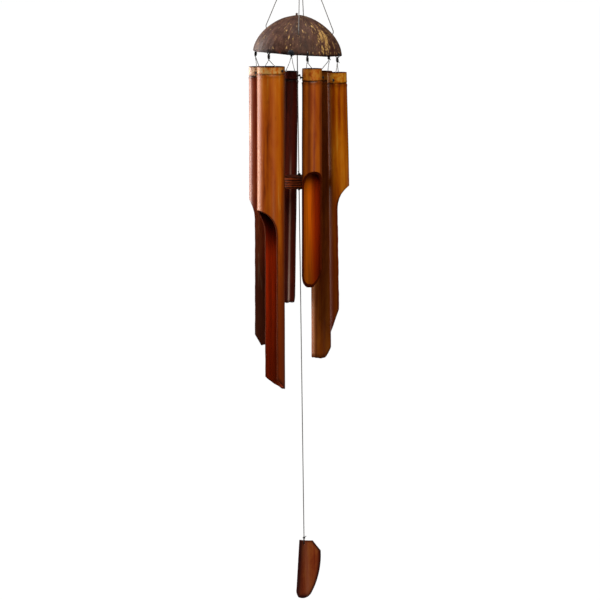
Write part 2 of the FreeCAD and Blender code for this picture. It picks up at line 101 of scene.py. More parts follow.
def surroundings():
    """A white backdrop for the camera and a weak warm fill for everything else."""
    world = bpy.data.worlds.new("studio")
    SCENE.world = world
    world.use_nodes = True
    nodes, links = world.node_tree.nodes, world.node_tree.links
    nodes.clear()
    out = nodes.new("ShaderNodeOutputWorld")
    mix = nodes.new("ShaderNodeMixShader")
    path = nodes.new("ShaderNodeLightPath")
    links.new(path.outputs["Is Camera Ray"], mix.inputs["Fac"])
    links.new(mix.outputs[0], out.inputs["Surface"])
    for socket, (strength, colour) in ((1, FILL), (2, BACKDROP)):
        light = nodes.new("ShaderNodeBackground")
        light.inputs["Color"].default_value = colour
        light.inputs["Strength"].default_value = strength
        links.new(light.outputs[0], mix.inputs[socket])


def floor():
    mesh = bpy.data.meshes.new("floor")
    h = FLOOR_HALF
    mesh.from_pydata([(-h, -h, 0), (h, -h, 0), (h, h, 0), (-h, h, 0)], [], [(0, 1, 2, 3)])
    obj = add("floor", mesh, (0.0, 0.0, FLOOR_Z))
    material = bpy.data.materials.new("floor_paper")
    material.use_nodes = True
    shader = material.node_tree.nodes["Principled BSDF"]
    for key, value in (("Base Color", (0.02, 0.02, 0.02, 1.0)), ("Roughness", 0.9),
                       ("Specular IOR Level", 0.0), ("Emission Color", (1.0, 1.0, 1.0, 1.0)),
                       ("Emission Strength", FLOOR_GLOW)):
        shader.inputs[key].default_value = value
    mesh.materials.append(material)
    obj.visible_glossy = False
    obj.visible_diffuse = False


camera()
lamps()
surroundings()
floor()
SCENE.view_settings.view_transform = "Standard"


# ------------ node graph helper

class Graph:
    """A short way to write a material's nodes; values may be numbers, colours or sockets."""

    def __init__(self, name):
        self.material = bpy.data.materials.new(name)
        self.material.use_nodes = True
        self.tree = self.material.node_tree
        self.shader = self.tree.nodes["Principled BSDF"]

    def put(self, socket, value):
        if isinstance(value, bpy.types.NodeSocket):
            self.tree.links.new(value, socket)
        elif isinstance(value, (tuple, list)) and len(value) == 3 and socket.type == "RGBA":
            socket.default_value = (*value, 1.0)
        else:
            socket.default_value = value

    def node(self, kind, inputs, **options):
        made = self.tree.nodes.new("ShaderNode" + kind)
        for key, value in options.items():
            setattr(made, key, value)
        for key, value in inputs.items():
            self.put(made.inputs[key], value)
        return made

    def mark(self, name, output="Fac"):
        return self.node("Attribute", {}, attribute_name=name).outputs[output]

    def position(self):
        return self.node("TexCoord", {}).outputs["Object"]

    def scaled(self, vector, scale, shift=(0.0, 0.0, 0.0)):
        scale = scale if isinstance(scale, tuple) else (scale, scale, scale)
        return self.node("Mapping", {"Vector": vector, "Scale": scale, "Location": shift}).outputs[0]

    def noise(self, vector, scale, detail=4.0, roughness=0.6, distortion=0.0, shift=(0.0, 0.0, 0.0)):
        values = {"Vector": self.scaled(vector, scale, shift), "Scale": 1.0, "Detail": detail,
                  "Roughness": roughness, "Distortion": distortion}
        return self.node("TexNoise", values).outputs["Fac"]

    def between(self, value, low, high, to_low=0.0, to_high=1.0):
        values = {"Value": value, "From Min": low, "From Max": high,
                  "To Min": to_low, "To Max": to_high}
        return self.node("MapRange", values, interpolation_type="SMOOTHSTEP").outputs[0]

    def times(self, a, b):
        return self.node("Math", {0: a, 1: b}, operation="MULTIPLY").outputs[0]

    def total(self, *parts, offset=0.0):
        """The sum of values, each times its weight."""
        for value, weight in parts:
            made = self.node("Math", {0: value, 1: weight, 2: offset}, operation="MULTIPLY_ADD")
            offset = made.outputs[0]
        return offset

    def mix(self, factor, a, b, blend="MIX"):
        values = {0: factor, 6: a, 7: b}
        return self.node("Mix", values, data_type="RGBA", blend_type=blend).outputs[2]

    def layers(self, colour, *over):
        """A colour with others laid over it, each by its own factor."""
        for factor, upper in over:
            colour = self.mix(factor, colour, upper)
        return colour

    def ramp(self, value, stops):
        made = self.node("ValToRGB", {"Fac": value})
        band = made.color_ramp
        while len(band.elements) > 1:
            band.elements.remove(band.elements[-1])
        band.elements[0].position = stops[0][0]
        band.elements[0].color = (*stops[0][1], 1.0)
        for at, colour in stops[1:]:
            band.elements.new(at).color = (*colour, 1.0)
        return made.outputs["Color"]

    def bumps(self, *heights):
        """One bump over the other, from (height, strength, distance)."""
        values = {}
        for height, strength, distance in heights:
            values = {**values, "Height": height, "Strength": strength, "Distance": distance}
            values = {"Normal": self.node("Bump", values).outputs["Normal"]}
        return values["Normal"]

    def finish(self, colour, roughness, normal, specular=0.5, **others):
        values = {"Base_Color": colour, "Roughness": roughness, "Normal": normal,
                  "Specular_IOR_Level": specular, **others}
        for key, value in values.items():
            self.put(self.shader.inputs[key.replace("_", " ")], value)
        return self.material


def deeper(colour, share):
    return tuple(share * c for c in colour)


def bell(distance, width):
    return np.exp(-(distance / width) ** 2)


# ------------ materials

def bamboo_skin(name, seed, stain, highlight_colour):
    """Stained, lacquered bamboo: streaks along the fibres, painted shade down the sides, a painted highlight
    streak, a brown sheath scar.
    """
    dark, mid, light, collar, foot, scar_depth, gloss = stain
    g = Graph(name)
    local = g.mark("local", "Vector")
    shift = (seed * 7.3, seed * 3.1, seed * 11.7)

    def grain(scale, detail, roughness, distortion=0.0):
        return g.noise(local, scale, detail, roughness, distortion, shift)

    fine = grain((0.9, 0.9, 0.012), 5.0, 0.62)
    broad = grain((0.15, 0.15, 0.005), 3.0, 0.5, 0.4)
    cloud = grain((0.06, 0.06, 0.016), 4.0, 0.6, 0.8)
    patch = grain((0.22, 0.22, 0.16), 5.0, 0.66)
    blot = grain((0.12, 0.12, 0.03), 6.0, 0.7)
    specks = grain((0.7, 0.7, 0.35), 2.0, 0.5)
    worn_ring = grain((0.16, 0.16, 0.3), 4.0, 0.7)
    fibres = grain((2.4, 2.4, 0.03), 3.0, 0.6)
    pores = grain(2.6, 3.0, 0.6)
    tone = g.total((fine, 0.22), (broad, 0.78), (cloud, 0.5), offset=-0.25)
    # painted shade: dark bands down the sides of the tube where the lamps leave it in shade
    painted_shade = g.times(g.mark("painted_shade"), g.between(fine, 0.2, 0.6, 0.75, 1.0))
    shade_colour = deeper(dark, 0.42)
    warm = g.mix(g.times(painted_shade, 0.7), g.ramp(patch, [(0.30, mid), (0.42, light), (0.55, collar)]), shade_colour)
    scar = g.times(g.mark("ring"), g.between(worn_ring, 0.34, 0.6, 0.4, 1.0))
    # painted highlight: a pale streak down the tube where a lamp's reflection falls
    painted_highlight = g.times(g.mark("painted_highlight"), g.between(fine, 0.3, 0.6, 0.6, 1.0))
    skin = g.layers(g.ramp(tone, [(0.27, dark), (0.42, mid), (0.60, light), (0.85, collar)]),
                    (painted_shade, shade_colour),
                    (g.times(g.mark("above"), 0.9), warm),
                    (g.between(blot, 0.56, 0.74, 0.0, 0.55), dark),
                    (g.between(specks, 0.73, 0.80, 0.0, 0.8), deeper(dark, 0.3)),
                    (g.times(scar, scar_depth), deeper(dark, 0.16)),
                    (g.times(g.mark("low"), 0.9), foot),
                    (painted_highlight, highlight_colour),
                    (g.times(g.mark("lip"), 0.8), deeper(dark, 0.4)))
    normal = g.bumps((fibres, 0.12, 0.0005), (pores, 0.08, 0.0003))
    return g.finish(skin, g.total((fine, 0.2), offset=0.27), normal, specular=gloss,
                    Coat_Weight=0.3 * gloss, Coat_Roughness=0.22, IOR=1.5)


def bamboo_inside(name, seed, dark, left, right):
    """The bore and the sawn faces: stained with the tube, never lacquered, with painted light and shade on
    the bore's walls and painted shade up in the bore above the mouth.
    """
    g = Graph(name)
    local = g.mark("local", "Vector")
    shift = (seed * 5.3, seed * 2.1, seed * 9.7)
    fine = g.noise(local, (1.1, 1.1, 0.02), 5.0, 0.62, shift=shift)
    broad = g.noise(local, (0.15, 0.15, 0.006), 3.0, 0.5, 0.4, shift)
    pores = g.noise(local, 2.6, 3.0, 0.6, shift=shift)
    # painted light and shade: the inner wall on one side lit, the other shaded, as seen from the front
    bore = g.mix(g.between(g.mark("east"), -0.55, 0.55), left, right)
    streaks = g.between(g.total((fine, 0.4), (broad, 0.6)), 0.34, 0.62, 0.55, 1.12)
    towards_foot = g.between(g.mark("way"), 0.35, 1.0, 1.0, 0.5)
    bore = g.mix(1.0, bore, streaks, "MULTIPLY")
    bore = g.mix(1.0, bore, towards_foot, "MULTIPLY")
    # painted shade: near black up in the closed bore above the mouth, fading out over the tube's shade length
    bore = g.mix(g.mark("depth"), (0.007, 0.0015, 0.001), bore)
    cut = g.mix(g.between(pores, 0.35, 0.65), deeper(dark, 0.25), dark)
    colour = g.mix(g.between(g.mark("inside"), 0.7, 0.95), cut, bore)
    normal = g.bumps((fine, 0.3, 0.0006), (pores, 0.25, 0.0004))
    return g.finish(colour, g.between(fine, 0.3, 0.7, 0.7, 0.9), normal, specular=0.02)


def coconut_material():
    """Sanded coconut shell: purplish brown, with fibre streaks and pale gold flecks."""
    g = Graph("coconut_shell")
    fibre = g.mark("fibre", "Vector")
    where = g.mark("where", "Vector")
    streak = g.noise(fibre, (11.0, 11.0, 1.6), 5.0, 0.65)
    mottle = g.noise(where, 0.12, 6.0, 0.7, 0.3)
    grit = g.noise(where, 0.9, 4.0, 0.7)
    lines = g.noise(fibre, (20.0, 20.0, 3.0), 3.0, 0.6, shift=(3.0, 1.0, 5.0))
    broken = g.noise(where, (0.42, 0.42, 0.30), 3.0, 0.6, shift=(1.0, 6.0, 2.0))
    dots = g.noise(fibre, (15.0, 15.0, 5.5), 2.0, 0.55, shift=(9.0, 2.0, 4.0))
    gate = g.total((lines, 0.78), (broken, 0.22), (g.mark("gold"), 0.125))
    gold = g.ramp(broken, [(0.36, (0.17, 0.08, 0.02)), (0.62, (0.44, 0.28, 0.10))])
    lining = g.ramp(streak, [(0.3, (0.01, 0.006, 0.005)), (0.7, (0.035, 0.018, 0.012))])
    rim = g.ramp(g.noise(where, 0.2, 3.0, 0.55),
                 [(0.52, (0.006, 0.002, 0.002)), (0.68, (0.10, 0.016, 0.008))])
    brown = g.ramp(g.total((streak, 0.45), (mottle, 0.55)),
                   [(0.36, (0.018, 0.006, 0.005)), (0.5, (0.05, 0.021, 0.014)),
                    (0.64, (0.10, 0.047, 0.034))])
    colour = g.layers(brown,
                      (g.between(grit, 0.52, 0.76, 0.0, 0.6), (0.036, 0.013, 0.009)),
                      (g.between(gate, 0.605, 0.685, 0.0, 0.92), gold),
                      (g.between(dots, 0.655, 0.72, 0.0, 0.9), (0.46, 0.29, 0.12)),
                      (g.times(g.mark("groove"), 0.8), (0.03, 0.008, 0.005)),
                      (g.mark("inner"), lining),
                      (g.times(g.mark("border"), 0.95), rim))
    normal = g.bumps((streak, 0.45, 0.0012), (grit, 0.35, 0.0007), (gate, 0.3, 0.0008))
    return g.finish(colour, g.between(streak, 0.3, 0.7, 0.45, 0.65), normal, specular=0.15)


def cord_material(name, dark, light, roughness, scale=1500.0, **others):
    """Twine: fine twisted fibres, darker between them."""
    g = Graph(name)
    p = g.position()
    fibre = g.noise(p, (scale, scale, scale * 0.35))
    lump = g.noise(p, (300.0, 300.0, 120.0), 2.0, 0.5)
    colour = g.mix(g.between(fibre, 0.35, 0.7), dark, light)
    colour = g.mix(g.between(lump, 0.35, 0.75, 0.0, 0.35), colour, dark)
    return g.finish(colour, roughness, g.bumps((fibre, 0.35, 0.0002)), **others)


def clapper_material():
    """Turned, stained wood: rings that wander, pores along the grain, fine lathe marks."""
    dark, mid, light = (0.012, 0.0025, 0.001), (0.075, 0.012, 0.003), (0.24, 0.045, 0.008)
    g = Graph("clapper_wood")
    p = g.position()
    wander = g.noise(p, (22.0, 60.0, 60.0), 4.0, 0.55, 0.6)
    rings = g.node("TexWave", {"Vector": g.scaled(p, (30.0, 90.0, 90.0)), "Scale": 1.0,
                               "Distortion": 5.0, "Detail": 3.0, "Detail Scale": 1.4},
                   wave_type="RINGS", rings_direction="X").outputs["Fac"]
    pores = g.noise(p, (160.0, 1800.0, 1800.0), 3.0)
    lathe = g.noise(p, (60.0, 60.0, 900.0), 2.0, 0.5)
    colour = g.ramp(g.total((wander, 0.6), (rings, 0.4)), [(0.25, dark), (0.5, mid), (0.75, light)])
    colour = g.mix(g.between(pores, 0.56, 0.72, 0.0, 0.7), colour, deeper(dark, 0.4))
    normal = g.bumps((lathe, 0.05, 0.0002), (pores, 0.2, 0.0003))
    return g.finish(colour, g.between(wander, 0.3, 0.7, 0.5, 0.64), normal, specular=0.05)


def catcher_material():
    """Split bamboo, stained red brown: long fibres, a pinkish painted highlight down the middle, dark edges.
    """
    g = Graph("catcher_bamboo")
    p = g.position()
    fine = g.noise(p, (900.0, 900.0, 26.0), 5.0, 0.62)
    broad = g.noise(p, (150.0, 150.0, 9.0), 3.0, 0.5, 0.5, (4.0, 0.0, 0.0))
    cloud = g.noise(p, (60.0, 60.0, 38.0), 4.0, 0.6, 0.6)
    tone = g.total((fine, 0.4), (broad, 0.6), (cloud, 0.35), offset=-0.175)
    pith = g.ramp(fine, [(0.3, (0.10, 0.035, 0.014)), (0.7, (0.26, 0.125, 0.05))])
    # painted highlight: a pale pinkish stripe down the middle of the outer skin, where a lamp's reflection
    # falls
    highlight_stripe = g.times(g.mark("highlight_stripe"), g.between(fine, 0.3, 0.75, 0.2, 0.65))
    colour = g.layers(g.ramp(tone, [(0.3, (0.105, 0.011, 0.005)), (0.46, (0.20, 0.036, 0.01)),
                                    (0.60, (0.26, 0.07, 0.016)), (0.8, (0.32, 0.12, 0.03))]),
                      (highlight_stripe, (0.26, 0.085, 0.055)),
                      (g.times(g.mark("border"), 0.96), (0.022, 0.004, 0.005)),
                      (g.mark("pith"), pith))
    return g.finish(colour, g.between(broad, 0.3, 0.7, 0.36, 0.52), g.bumps((fine, 0.2, 0.0005)),
                    specular=0.015)


def steel_material():
    """Drawn steel: fine scratches along the wire, faint tarnish."""
    g = Graph("ring_steel")
    p = g.position()
    scratch = g.noise(p, (2500.0, 400.0, 2500.0), 3.0)
    tarnish = g.noise(p, 220.0)
    colour = g.mix(g.between(tarnish, 0.45, 0.75), (0.60, 0.60, 0.62), (0.36, 0.33, 0.29))
    return g.finish(colour, g.between(scratch, 0.3, 0.7, 0.18, 0.36), g.bumps((scratch, 0.12, 0.0001)),
                    Metallic=1.0)


FUZZ = dict(scale=2600.0, specular=0.15, Sheen_Weight=0.04, Sheen_Roughness=0.5)
BLACK = cord_material("black_cord", (0.003, 0.0033, 0.004), (0.018, 0.019, 0.023), 0.62, **FUZZ)
BLUE_BLACK = cord_material("blue_black_cord", (0.003, 0.005, 0.01), (0.011, 0.018, 0.036), 0.6, **FUZZ)
NYLON = cord_material("nylon_line", (0.22, 0.225, 0.235), (0.42, 0.425, 0.43), 0.3,
                      Transmission_Weight=0.62, IOR=1.45)
GREY_LINE = cord_material("grey_line", (0.08, 0.082, 0.087), (0.23, 0.235, 0.245), 0.5, specular=0.25)
CENTRE_GREY = cord_material("centre_grey_line", (0.07, 0.072, 0.076), (0.21, 0.213, 0.22), 0.55,
                            specular=0.15)
BROWN = cord_material("brown_cord", (0.03, 0.014, 0.01), (0.10, 0.045, 0.032), 0.6)


# ------------ mesh helpers

def link(name, data, body, material, node):
    """A piece that rides on a body, takes a slot's finish and stands for a CAD node."""
    obj = add(name, data)
    data.materials.clear()
    data.materials.append(material)
    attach(obj, body)
    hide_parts(node)
    return obj


def to_mesh(name, points, faces, smooth_angle=40.0):
    """A mesh in metres from points in millimetres, its faces turned outwards."""
    mesh = bpy.data.meshes.new(name)
    mesh.from_pydata([tuple(c * MM for c in p) for p in points], [], faces)
    work = bmesh.new()
    work.from_mesh(mesh)
    bmesh.ops.recalc_face_normals(work, faces=work.faces)
    work.to_mesh(mesh)
    work.free()
    mesh.shade_smooth()
    mesh.set_sharp_from_angle(angle=radians(smooth_angle))
    return mesh


def give(mesh, marks):
    """Stores one value or vector a vertex, by name, for the materials to read."""
    for name, values in marks.items():
        values = np.asarray(values, np.float32)
        kind, field = ("FLOAT", "value") if values.ndim == 1 else ("FLOAT_VECTOR", "vector")
        layer = mesh.attributes.new(name, kind, "POINT")
        layer.data.foreach_set(field, values.ravel())


def sweep(path, radii, sides=8, closed=False):
    """Points and faces of a round strand along a path, with flat caps if it isn't closed."""
    path = np.asarray(path, float)
    count = len(path)
    radii = np.broadcast_to(np.asarray(radii, float), (count,))
    if closed:
        along = np.roll(path, -1, 0) - np.roll(path, 1, 0)
    else:
        along = np.gradient(path, axis=0)
    along /= np.linalg.norm(along, axis=1)[:, None]
    side = np.cross(along[0], (0.31, 0.95, 0.05))
    points = []
    for i in range(count):
        side = side - along[i] * np.dot(side, along[i])
        side /= np.linalg.norm(side)
        other = np.cross(along[i], side)
        for k in range(sides):
            turn = TURN * k / sides
            points.append(path[i] + radii[i] * (side * cos(turn) + other * sin(turn)))
    faces = []
    for i in range(count if closed else count - 1):
        j = (i + 1) % count
        shift = 0
        if j == 0:
            gaps = [np.linalg.norm(points[i * sides] - points[k]) for k in range(sides)]
            shift = int(np.argmin(gaps))
        for k in range(sides):
            m = (k + 1) % sides
            faces.append((i * sides + k, i * sides + m, j * sides + (m + shift) % sides,
                          j * sides + (k + shift) % sides))
    if not closed:
        faces.append(tuple(range(sides)))
        faces.append(tuple((count - 1) * sides + k for k in reversed(range(sides))))
    return points, faces


def merge(parts):
    points, faces = [], []
    for some_points, some_faces in parts:
        base = len(points)
        points += list(some_points)
        faces += [tuple(base + i for i in f) for f in some_faces]
    return points, faces


def evaluated(obj, name):
    """The mesh that an object's modifiers make; the object goes."""
    graph = bpy.context.evaluated_depsgraph_get()
    mesh = bpy.data.meshes.new_from_object(obj.evaluated_get(graph), depsgraph=graph)
    bpy.data.objects.remove(obj)
    mesh.name = name
    return mesh


def drill(mesh, name, rods):
    """The mesh with round holes: rods are (start, end, radius) in millimetres."""
    parts = []
    for start, end, radius in rods:
        parts.append(sweep([start, (np.asarray(start) + np.asarray(end)) / 2, end], radius, 20))
    cutter = add(name + "_cutter", to_mesh(name + "_cutter", *merge(parts)))
    subject = add(name + "_subject", mesh)
    cut = subject.modifiers.new("holes", "BOOLEAN")
    cut.operation = "DIFFERENCE"
    cut.solver = "EXACT"
    cut.object = cutter
    made = evaluated(subject, name)
    bpy.data.objects.remove(cutter)
    return made


def tied(name, parts, body, node, material=BLACK):
    """A piece made of strands and knots, black unless it says otherwise."""
    return link(name, to_mesh(name, *merge(parts)), body, material, node)


def loop(centre, across, up, half_width, half_height, power, strand, count=44):
    """A closed strand along a rounded loop (a superellipse) in the plane of two directions."""
    path = []
    for i in range(count):
        c, s = cos(TURN * i / count), sin(TURN * i / count)
        x = copysign(abs(c) ** (2 / power), c) * half_width
        z = copysign(abs(s) ** (2 / power), s) * half_height
        path.append(np.asarray(centre) + np.asarray(across) * x + np.asarray(up) * z)
    return sweep(path, strand, closed=True)


def wound_knot(centre, axis, radius, half, strand, turns, seed=0.0, tags=()):
    """A knot as it is tied: a strand wound round its middle, one turn drawn across, short tags."""
    centre = np.asarray(centre, float)
    axis = np.asarray(axis, float) / np.linalg.norm(axis)
    a = np.cross(axis, (0.0, 1.0, 0.0) if abs(axis[1]) < 0.9 else (1.0, 0.0, 0.0))
    a /= np.linalg.norm(a)
    b = np.cross(axis, a)
    stations = np.linspace(-0.96, 0.96, 9)
    core = [centre + axis * (half - strand * 0.8) * t for t in stations]
    t = np.linspace(-1, 1, int(turns * 18))
    turn = pi * turns * t + seed
    out = (radius - strand) * np.sqrt(1 - ((half - strand) / half * t) ** 2 * 0.82)
    wrap = [centre + axis * (half - strand) * t[i]
            + out[i] * (a * cos(turn[i]) + b * sin(turn[i])) for i in range(len(t))]
    tilt = axis * cos(0.5) + a * sin(0.5)
    lock = [centre + (half - strand) * 0.93 * cos(q) * tilt
            + (radius - strand) * 0.97 * sin(q) * b
            for q in np.linspace(0, TURN, 28, endpoint=False)]
    parts = [sweep(core, (radius - strand * 0.9) * np.sqrt(1 - stations ** 2), 12),
             sweep(wrap, strand), sweep(lock, strand * 0.92, closed=True)]
    for tag in tags:
        s = np.linspace(0, 1, 7)[:, None]
        p0, p1, p2 = (centre + np.asarray(q, float) for q in tag)
        parts.append(sweep((1 - s) ** 2 * p0 + 2 * s * (1 - s) * p1 + s ** 2 * p2, strand * 0.85))
    return merge(parts)


# ------------ cords

def line(name, body, node, route, diameter, material):
    """A taut line: one smooth curve through its route, in the place of its CAD solid."""
    curve = bpy.data.curves.new(name, "CURVE")
    curve.dimensions = "3D"
    spline = curve.splines.new("NURBS")
    spline.points.add(len(route) - 1)
    for point, place in zip(spline.points, route):
        point.co = (*place, 1.0)
    spline.order_u = 3
    spline.use_endpoint_u = True
    spline.resolution_u = 10
    curve.bevel_depth = diameter / 2
    curve.bevel_resolution = 4
    curve.use_fill_caps = True
    obj = link(name, curve, body, material, node)


HANGER_D = 0.0012
LINE_D = 0.0010
CENTRE_D = 0.0013
HANGER_ROUTES = {
    "front": (0.129, [(0.0, -0.0013, -0.0282), (-0.0017, -0.0458, -0.1354),
                      (-0.0018, -0.0481, -0.1409), (-0.0022, -0.0438, -0.1469)]),
    "right": (0.130, [(0.0012, 0.0, -0.0282), (0.0432, 0.0, -0.1372),
                      (0.0453, 0.0, -0.1428), (0.0407, 0.0, -0.1486)]),
    "back": (0.128, [(0.0001, 0.0012, -0.0282), (0.0053, 0.0443, -0.1348),
                     (0.0056, 0.0466, -0.1404), (0.0046, 0.0424, -0.1463)]),
    "left": (0.123, [(-0.0013, 0.0, -0.0282), (-0.0439, 0.0, -0.1292),
                     (-0.0463, 0.0, -0.1347), (-0.0424, 0.0, -0.1410)]),
}
LINE_ROUTES = {
    "front_left": (0.052, [
        (-0.0536, -0.0287, -0.1906), (-0.0493, -0.0325, -0.1906), (-0.0473, -0.0355, -0.1871),
        (-0.0432, -0.0415, -0.1801), (-0.0421, -0.0436, -0.1771), (-0.0405, -0.0451, -0.1771),
        (-0.0381, -0.0460, -0.1800), (-0.0307, -0.0498, -0.1873), (-0.0274, -0.0515, -0.1906),
        (-0.0231, -0.0553, -0.1906)]),
    "left": (0.054, [
        (-0.0511, 0.0288, -0.1958), (-0.0524, 0.0237, -0.1958), (-0.0540, 0.0220, -0.1914),
        (-0.0580, 0.0177, -0.1799), (-0.0592, 0.0171, -0.1760), (-0.0598, 0.0150, -0.1760),
        (-0.0591, 0.0136, -0.1798), (-0.0580, 0.0068, -0.1915), (-0.0576, 0.0042, -0.1958),
        (-0.0590, -0.0009, -0.1958)]),
    "back": (0.0555, [
        (-0.0007, 0.0573, -0.2023), (-0.0056, 0.0564, -0.2022), (-0.0069, 0.0567, -0.1974),
        (-0.0105, 0.0574, -0.1832), (-0.0106, 0.0579, -0.1789), (-0.0128, 0.0575, -0.1789),
        (-0.0135, 0.0569, -0.1830), (-0.0196, 0.0544, -0.1974), (-0.0216, 0.0536, -0.2020),
        (-0.0264, 0.0527, -0.2019)]),
    "front": (0.053, [
        (0.0012, -0.0562, -0.1992), (0.0063, -0.0549, -0.1992), (0.0072, -0.0553, -0.1943),
        (0.0089, -0.0562, -0.1846), (0.0087, -0.0570, -0.1802), (0.0108, -0.0564, -0.1802),
        (0.0127, -0.0555, -0.1835), (0.0223, -0.0514, -0.1954), (0.0253, -0.0502, -0.1992),
        (0.0304, -0.0489, -0.1992)]),
    "back_right": (0.060, [
        (0.0406, 0.0273, -0.2031), (0.0368, 0.0311, -0.2031), (0.0373, 0.0330, -0.1985),
        (0.0385, 0.0379, -0.1861), (0.0397, 0.0389, -0.1820), (0.0381, 0.0405, -0.1820),
        (0.0360, 0.0409, -0.1853), (0.0242, 0.0456, -0.1994), (0.0212, 0.0468, -0.2031),
        (0.0174, 0.0506, -0.2031)]),
    "right": (0.0555, [
        (0.0444, -0.0320, -0.2039), (0.0461, -0.0270, -0.2039), (0.0469, -0.0263, -0.1990),
        (0.0488, -0.0244, -0.1870), (0.0492, -0.0247, -0.1826), (0.0499, -0.0227, -0.1826),
        (0.0500, -0.0210, -0.1863), (0.0518, -0.0117, -0.1997), (0.0523, -0.0089, -0.2037),
        (0.0541, -0.0039, -0.2037)]),
}
UPPER_ROUTE = [(-0.00443, 0.0, -0.1195), (-0.00285, 0.0, -0.2330), (-0.0012, 0.0, -0.3500)]
LOWER_ROUTE = [(-0.00117, 0.0, -0.3542), (0.00215, 0.0, -0.5900), (0.00542, 0.0, -0.8269)]
GATHER_AT = (0.0, 0.0, -25.12)
RING_LOOP_Z = -16.35
TWINE_R = 0.27
TWINE_LAY = 0.23


def ring_cords():
    """The two-strand loop through the ring and the knot that gathers the four hangers."""
    count = 48
    strands = []
    for phase in (0.0, pi):
        strand = []
        for i in range(count):
            q = TURN * i / count
            c, s = cos(q), sin(q)
            half = 1.58 + 0.7 * c
            lay_out = TWINE_LAY * sin(9 * q + phase)
            strand.append((0.12 * sin(3 * q) + TWINE_LAY * cos(9 * q + phase),
                           half * s * 1.16 + lay_out * c,
                           RING_LOOP_Z + (4.05 + half) * c - lay_out * s))
        strands.append(sweep(strand, TWINE_R, closed=True))
    tied("cord_loop", strands, "ring_loop", "ring_loop")
    knot = wound_knot(GATHER_AT, (0.15, 0.1, 1.0), 3.05, 3.05, 0.62, 4.0, 0.4)
    tied("gathering_knot", [knot], "gather_knot", "gather_knot")


def hanger_cords():
    for number, (name, (length, route)) in enumerate(HANGER_ROUTES.items()):
        end = tuple(c / MM for c in route[-1])
        knot = wound_knot(end, (0.3, 0.2, 1.0), 1.95, 1.95, 0.45, 3.0, number * 0.9,
                          [((0, 0, -1.2), (0.4, 0.3, -2.6), (1.2, 0.5, -3.6))])
        stop = tied("hanger_stop_" + name, [knot], "canopy", "hanger_knot_" + name,
                    GREY_LINE)
        line("hanger_" + name, "canopy", "hanger_cord_" + name, route, HANGER_D, GREY_LINE)


def tube_lines():
    for number, (name, (length, route)) in enumerate(LINE_ROUTES.items()):
        knots = []
        for end, inner, side in ((0, 1, 1), (-1, -2, -1)):
            at = np.array(route[end]) / MM
            out = at - np.array(route[inner]) / MM
            out /= np.linalg.norm(out)
            tag = (out * 0.6 + np.array((0, 0, -1.0)), out * 1.4 + np.array((0, 0, -2.0)),
                   out * 1.1 + np.array((0, 0, -3.1)))
            knots.append(wound_knot(at, (0.25 * side, 0.2, 1.0), 1.65, 1.65, 0.42, 3.0, number * 0.8, [tag]))
        stops = tied("stop_knots_" + name, knots, "line_" + name, "stopper_knots_" + name)
        line("line_" + name, "line_" + name, "tube_line_" + name, route, LINE_D, NYLON)


def centre_pieces():
    """The knots and lines down the middle, from the dome's top to the wind catcher."""
    knot = wound_knot((-4.458, 0, -117.61), (0.1, 0.1, 1.0), 1.65, 1.65, 0.4, 3.0, 0.2)
    tied("apex_knot", [knot], "centre_knot", "centre_knot", BROWN)
    tag = ((0.0, -0.6, 1.4), (-0.6, -1.0, 3.0), (-1.9, -0.9, 4.5))
    knot = wound_knot((-1.2, 0, -332.1), (0.2, 0.1, 1.0), 2.15, 2.15, 0.52, 3.2, 0.5, [tag])
    stop = tied("clapper_stop", [knot], "clapper", "clapper_knot")
    line("centre_cord_upper", "clapper", "upper_cord", UPPER_ROUTE, CENTRE_D, CENTRE_GREY)
    knot = wound_knot((-1.2, 0, -352.1), (0.1, 0.2, 1.0), 1.85, 1.85, 0.45, 3.0, 0.7)
    tied("under_clapper_knot", [knot], "lower_knot", "lower_knot", GREY_LINE)
    tag = ((0.4, -0.4, 0.9), (1.6, -0.9, 2.0), (3.4, -0.8, 2.5))
    parts = [wound_knot((5.45, 0, -829.0), (0.5, 0.1, 1.0), 1.8, 1.85, 0.5, 3.0, 0.1, [tag]),
             loop((5.03, 0, -833.15), (0, 1, 0), (0, 0, 1), 3.0, 3.85, 2.6, 0.42),
             loop((5.87, 0, -833.15), (0, 1, 0), (0, 0, 1), 3.0, 3.85, 2.6, 0.42),
             loop((5.45, 0, -833.50), (0.05, 1, 0), (0, 0, 1), 3.2, 4.25, 2.6, 0.40)]
    tie = tied("catcher_tie", parts, "catcher_knot", "catcher_knot")
    line("centre_cord_lower", "lower_cord", "lower_cord", LOWER_ROUTE, CENTRE_D, CENTRE_GREY)


# ------------ coconut shell and rim

SHELL_AT = Vector((-3.6, 0.0, -170.1))
SHELL_R = 60.0
SHELL_H = 51.6
SHELL_POWER = 1.75
SHELL_WALL = 3.5
SHELL_TILT = 3.5
SHELL_FRAME = Matrix.Translation(SHELL_AT) @ Matrix.Rotation(radians(SHELL_TILT), 4, "Y")
SHELL_TURN = SHELL_FRAME.to_3x3()
SHELL_UP = SHELL_TURN @ Vector((0.0, 0.0, 1.0))
HANGER_HOLES = ((0.0, 28.0), (90.0, 29.0), (171.0, 29.0), (270.0, 31.5))
HANGER_HOLE_R = 1.25
HANGER_HOLE_LEAN = 35.0
CENTRE_HOLE = ((-4.458, 0.0, -113.0), (-4.458, 0.0, -128.0), 1.5)
TIE_HOLE_R = 0.95
TIE_HOLE_UP = 4.5
TIE_DROP = 8.3
TIES = {"front_left": -40.4, "left": -106.0, "back": 188.0, "front": 13.3, "back_right": 133.0,
        "right": 66.0}
FRONT_KNOT = -8.0
FRONT_KNOT_UP = 3.6


def rim_point(azimuth, height=0.0):
    return SHELL_FRAME @ (compass(azimuth) * (SHELL_R - SHELL_WALL / 2) + Vector((0, 0, height)))


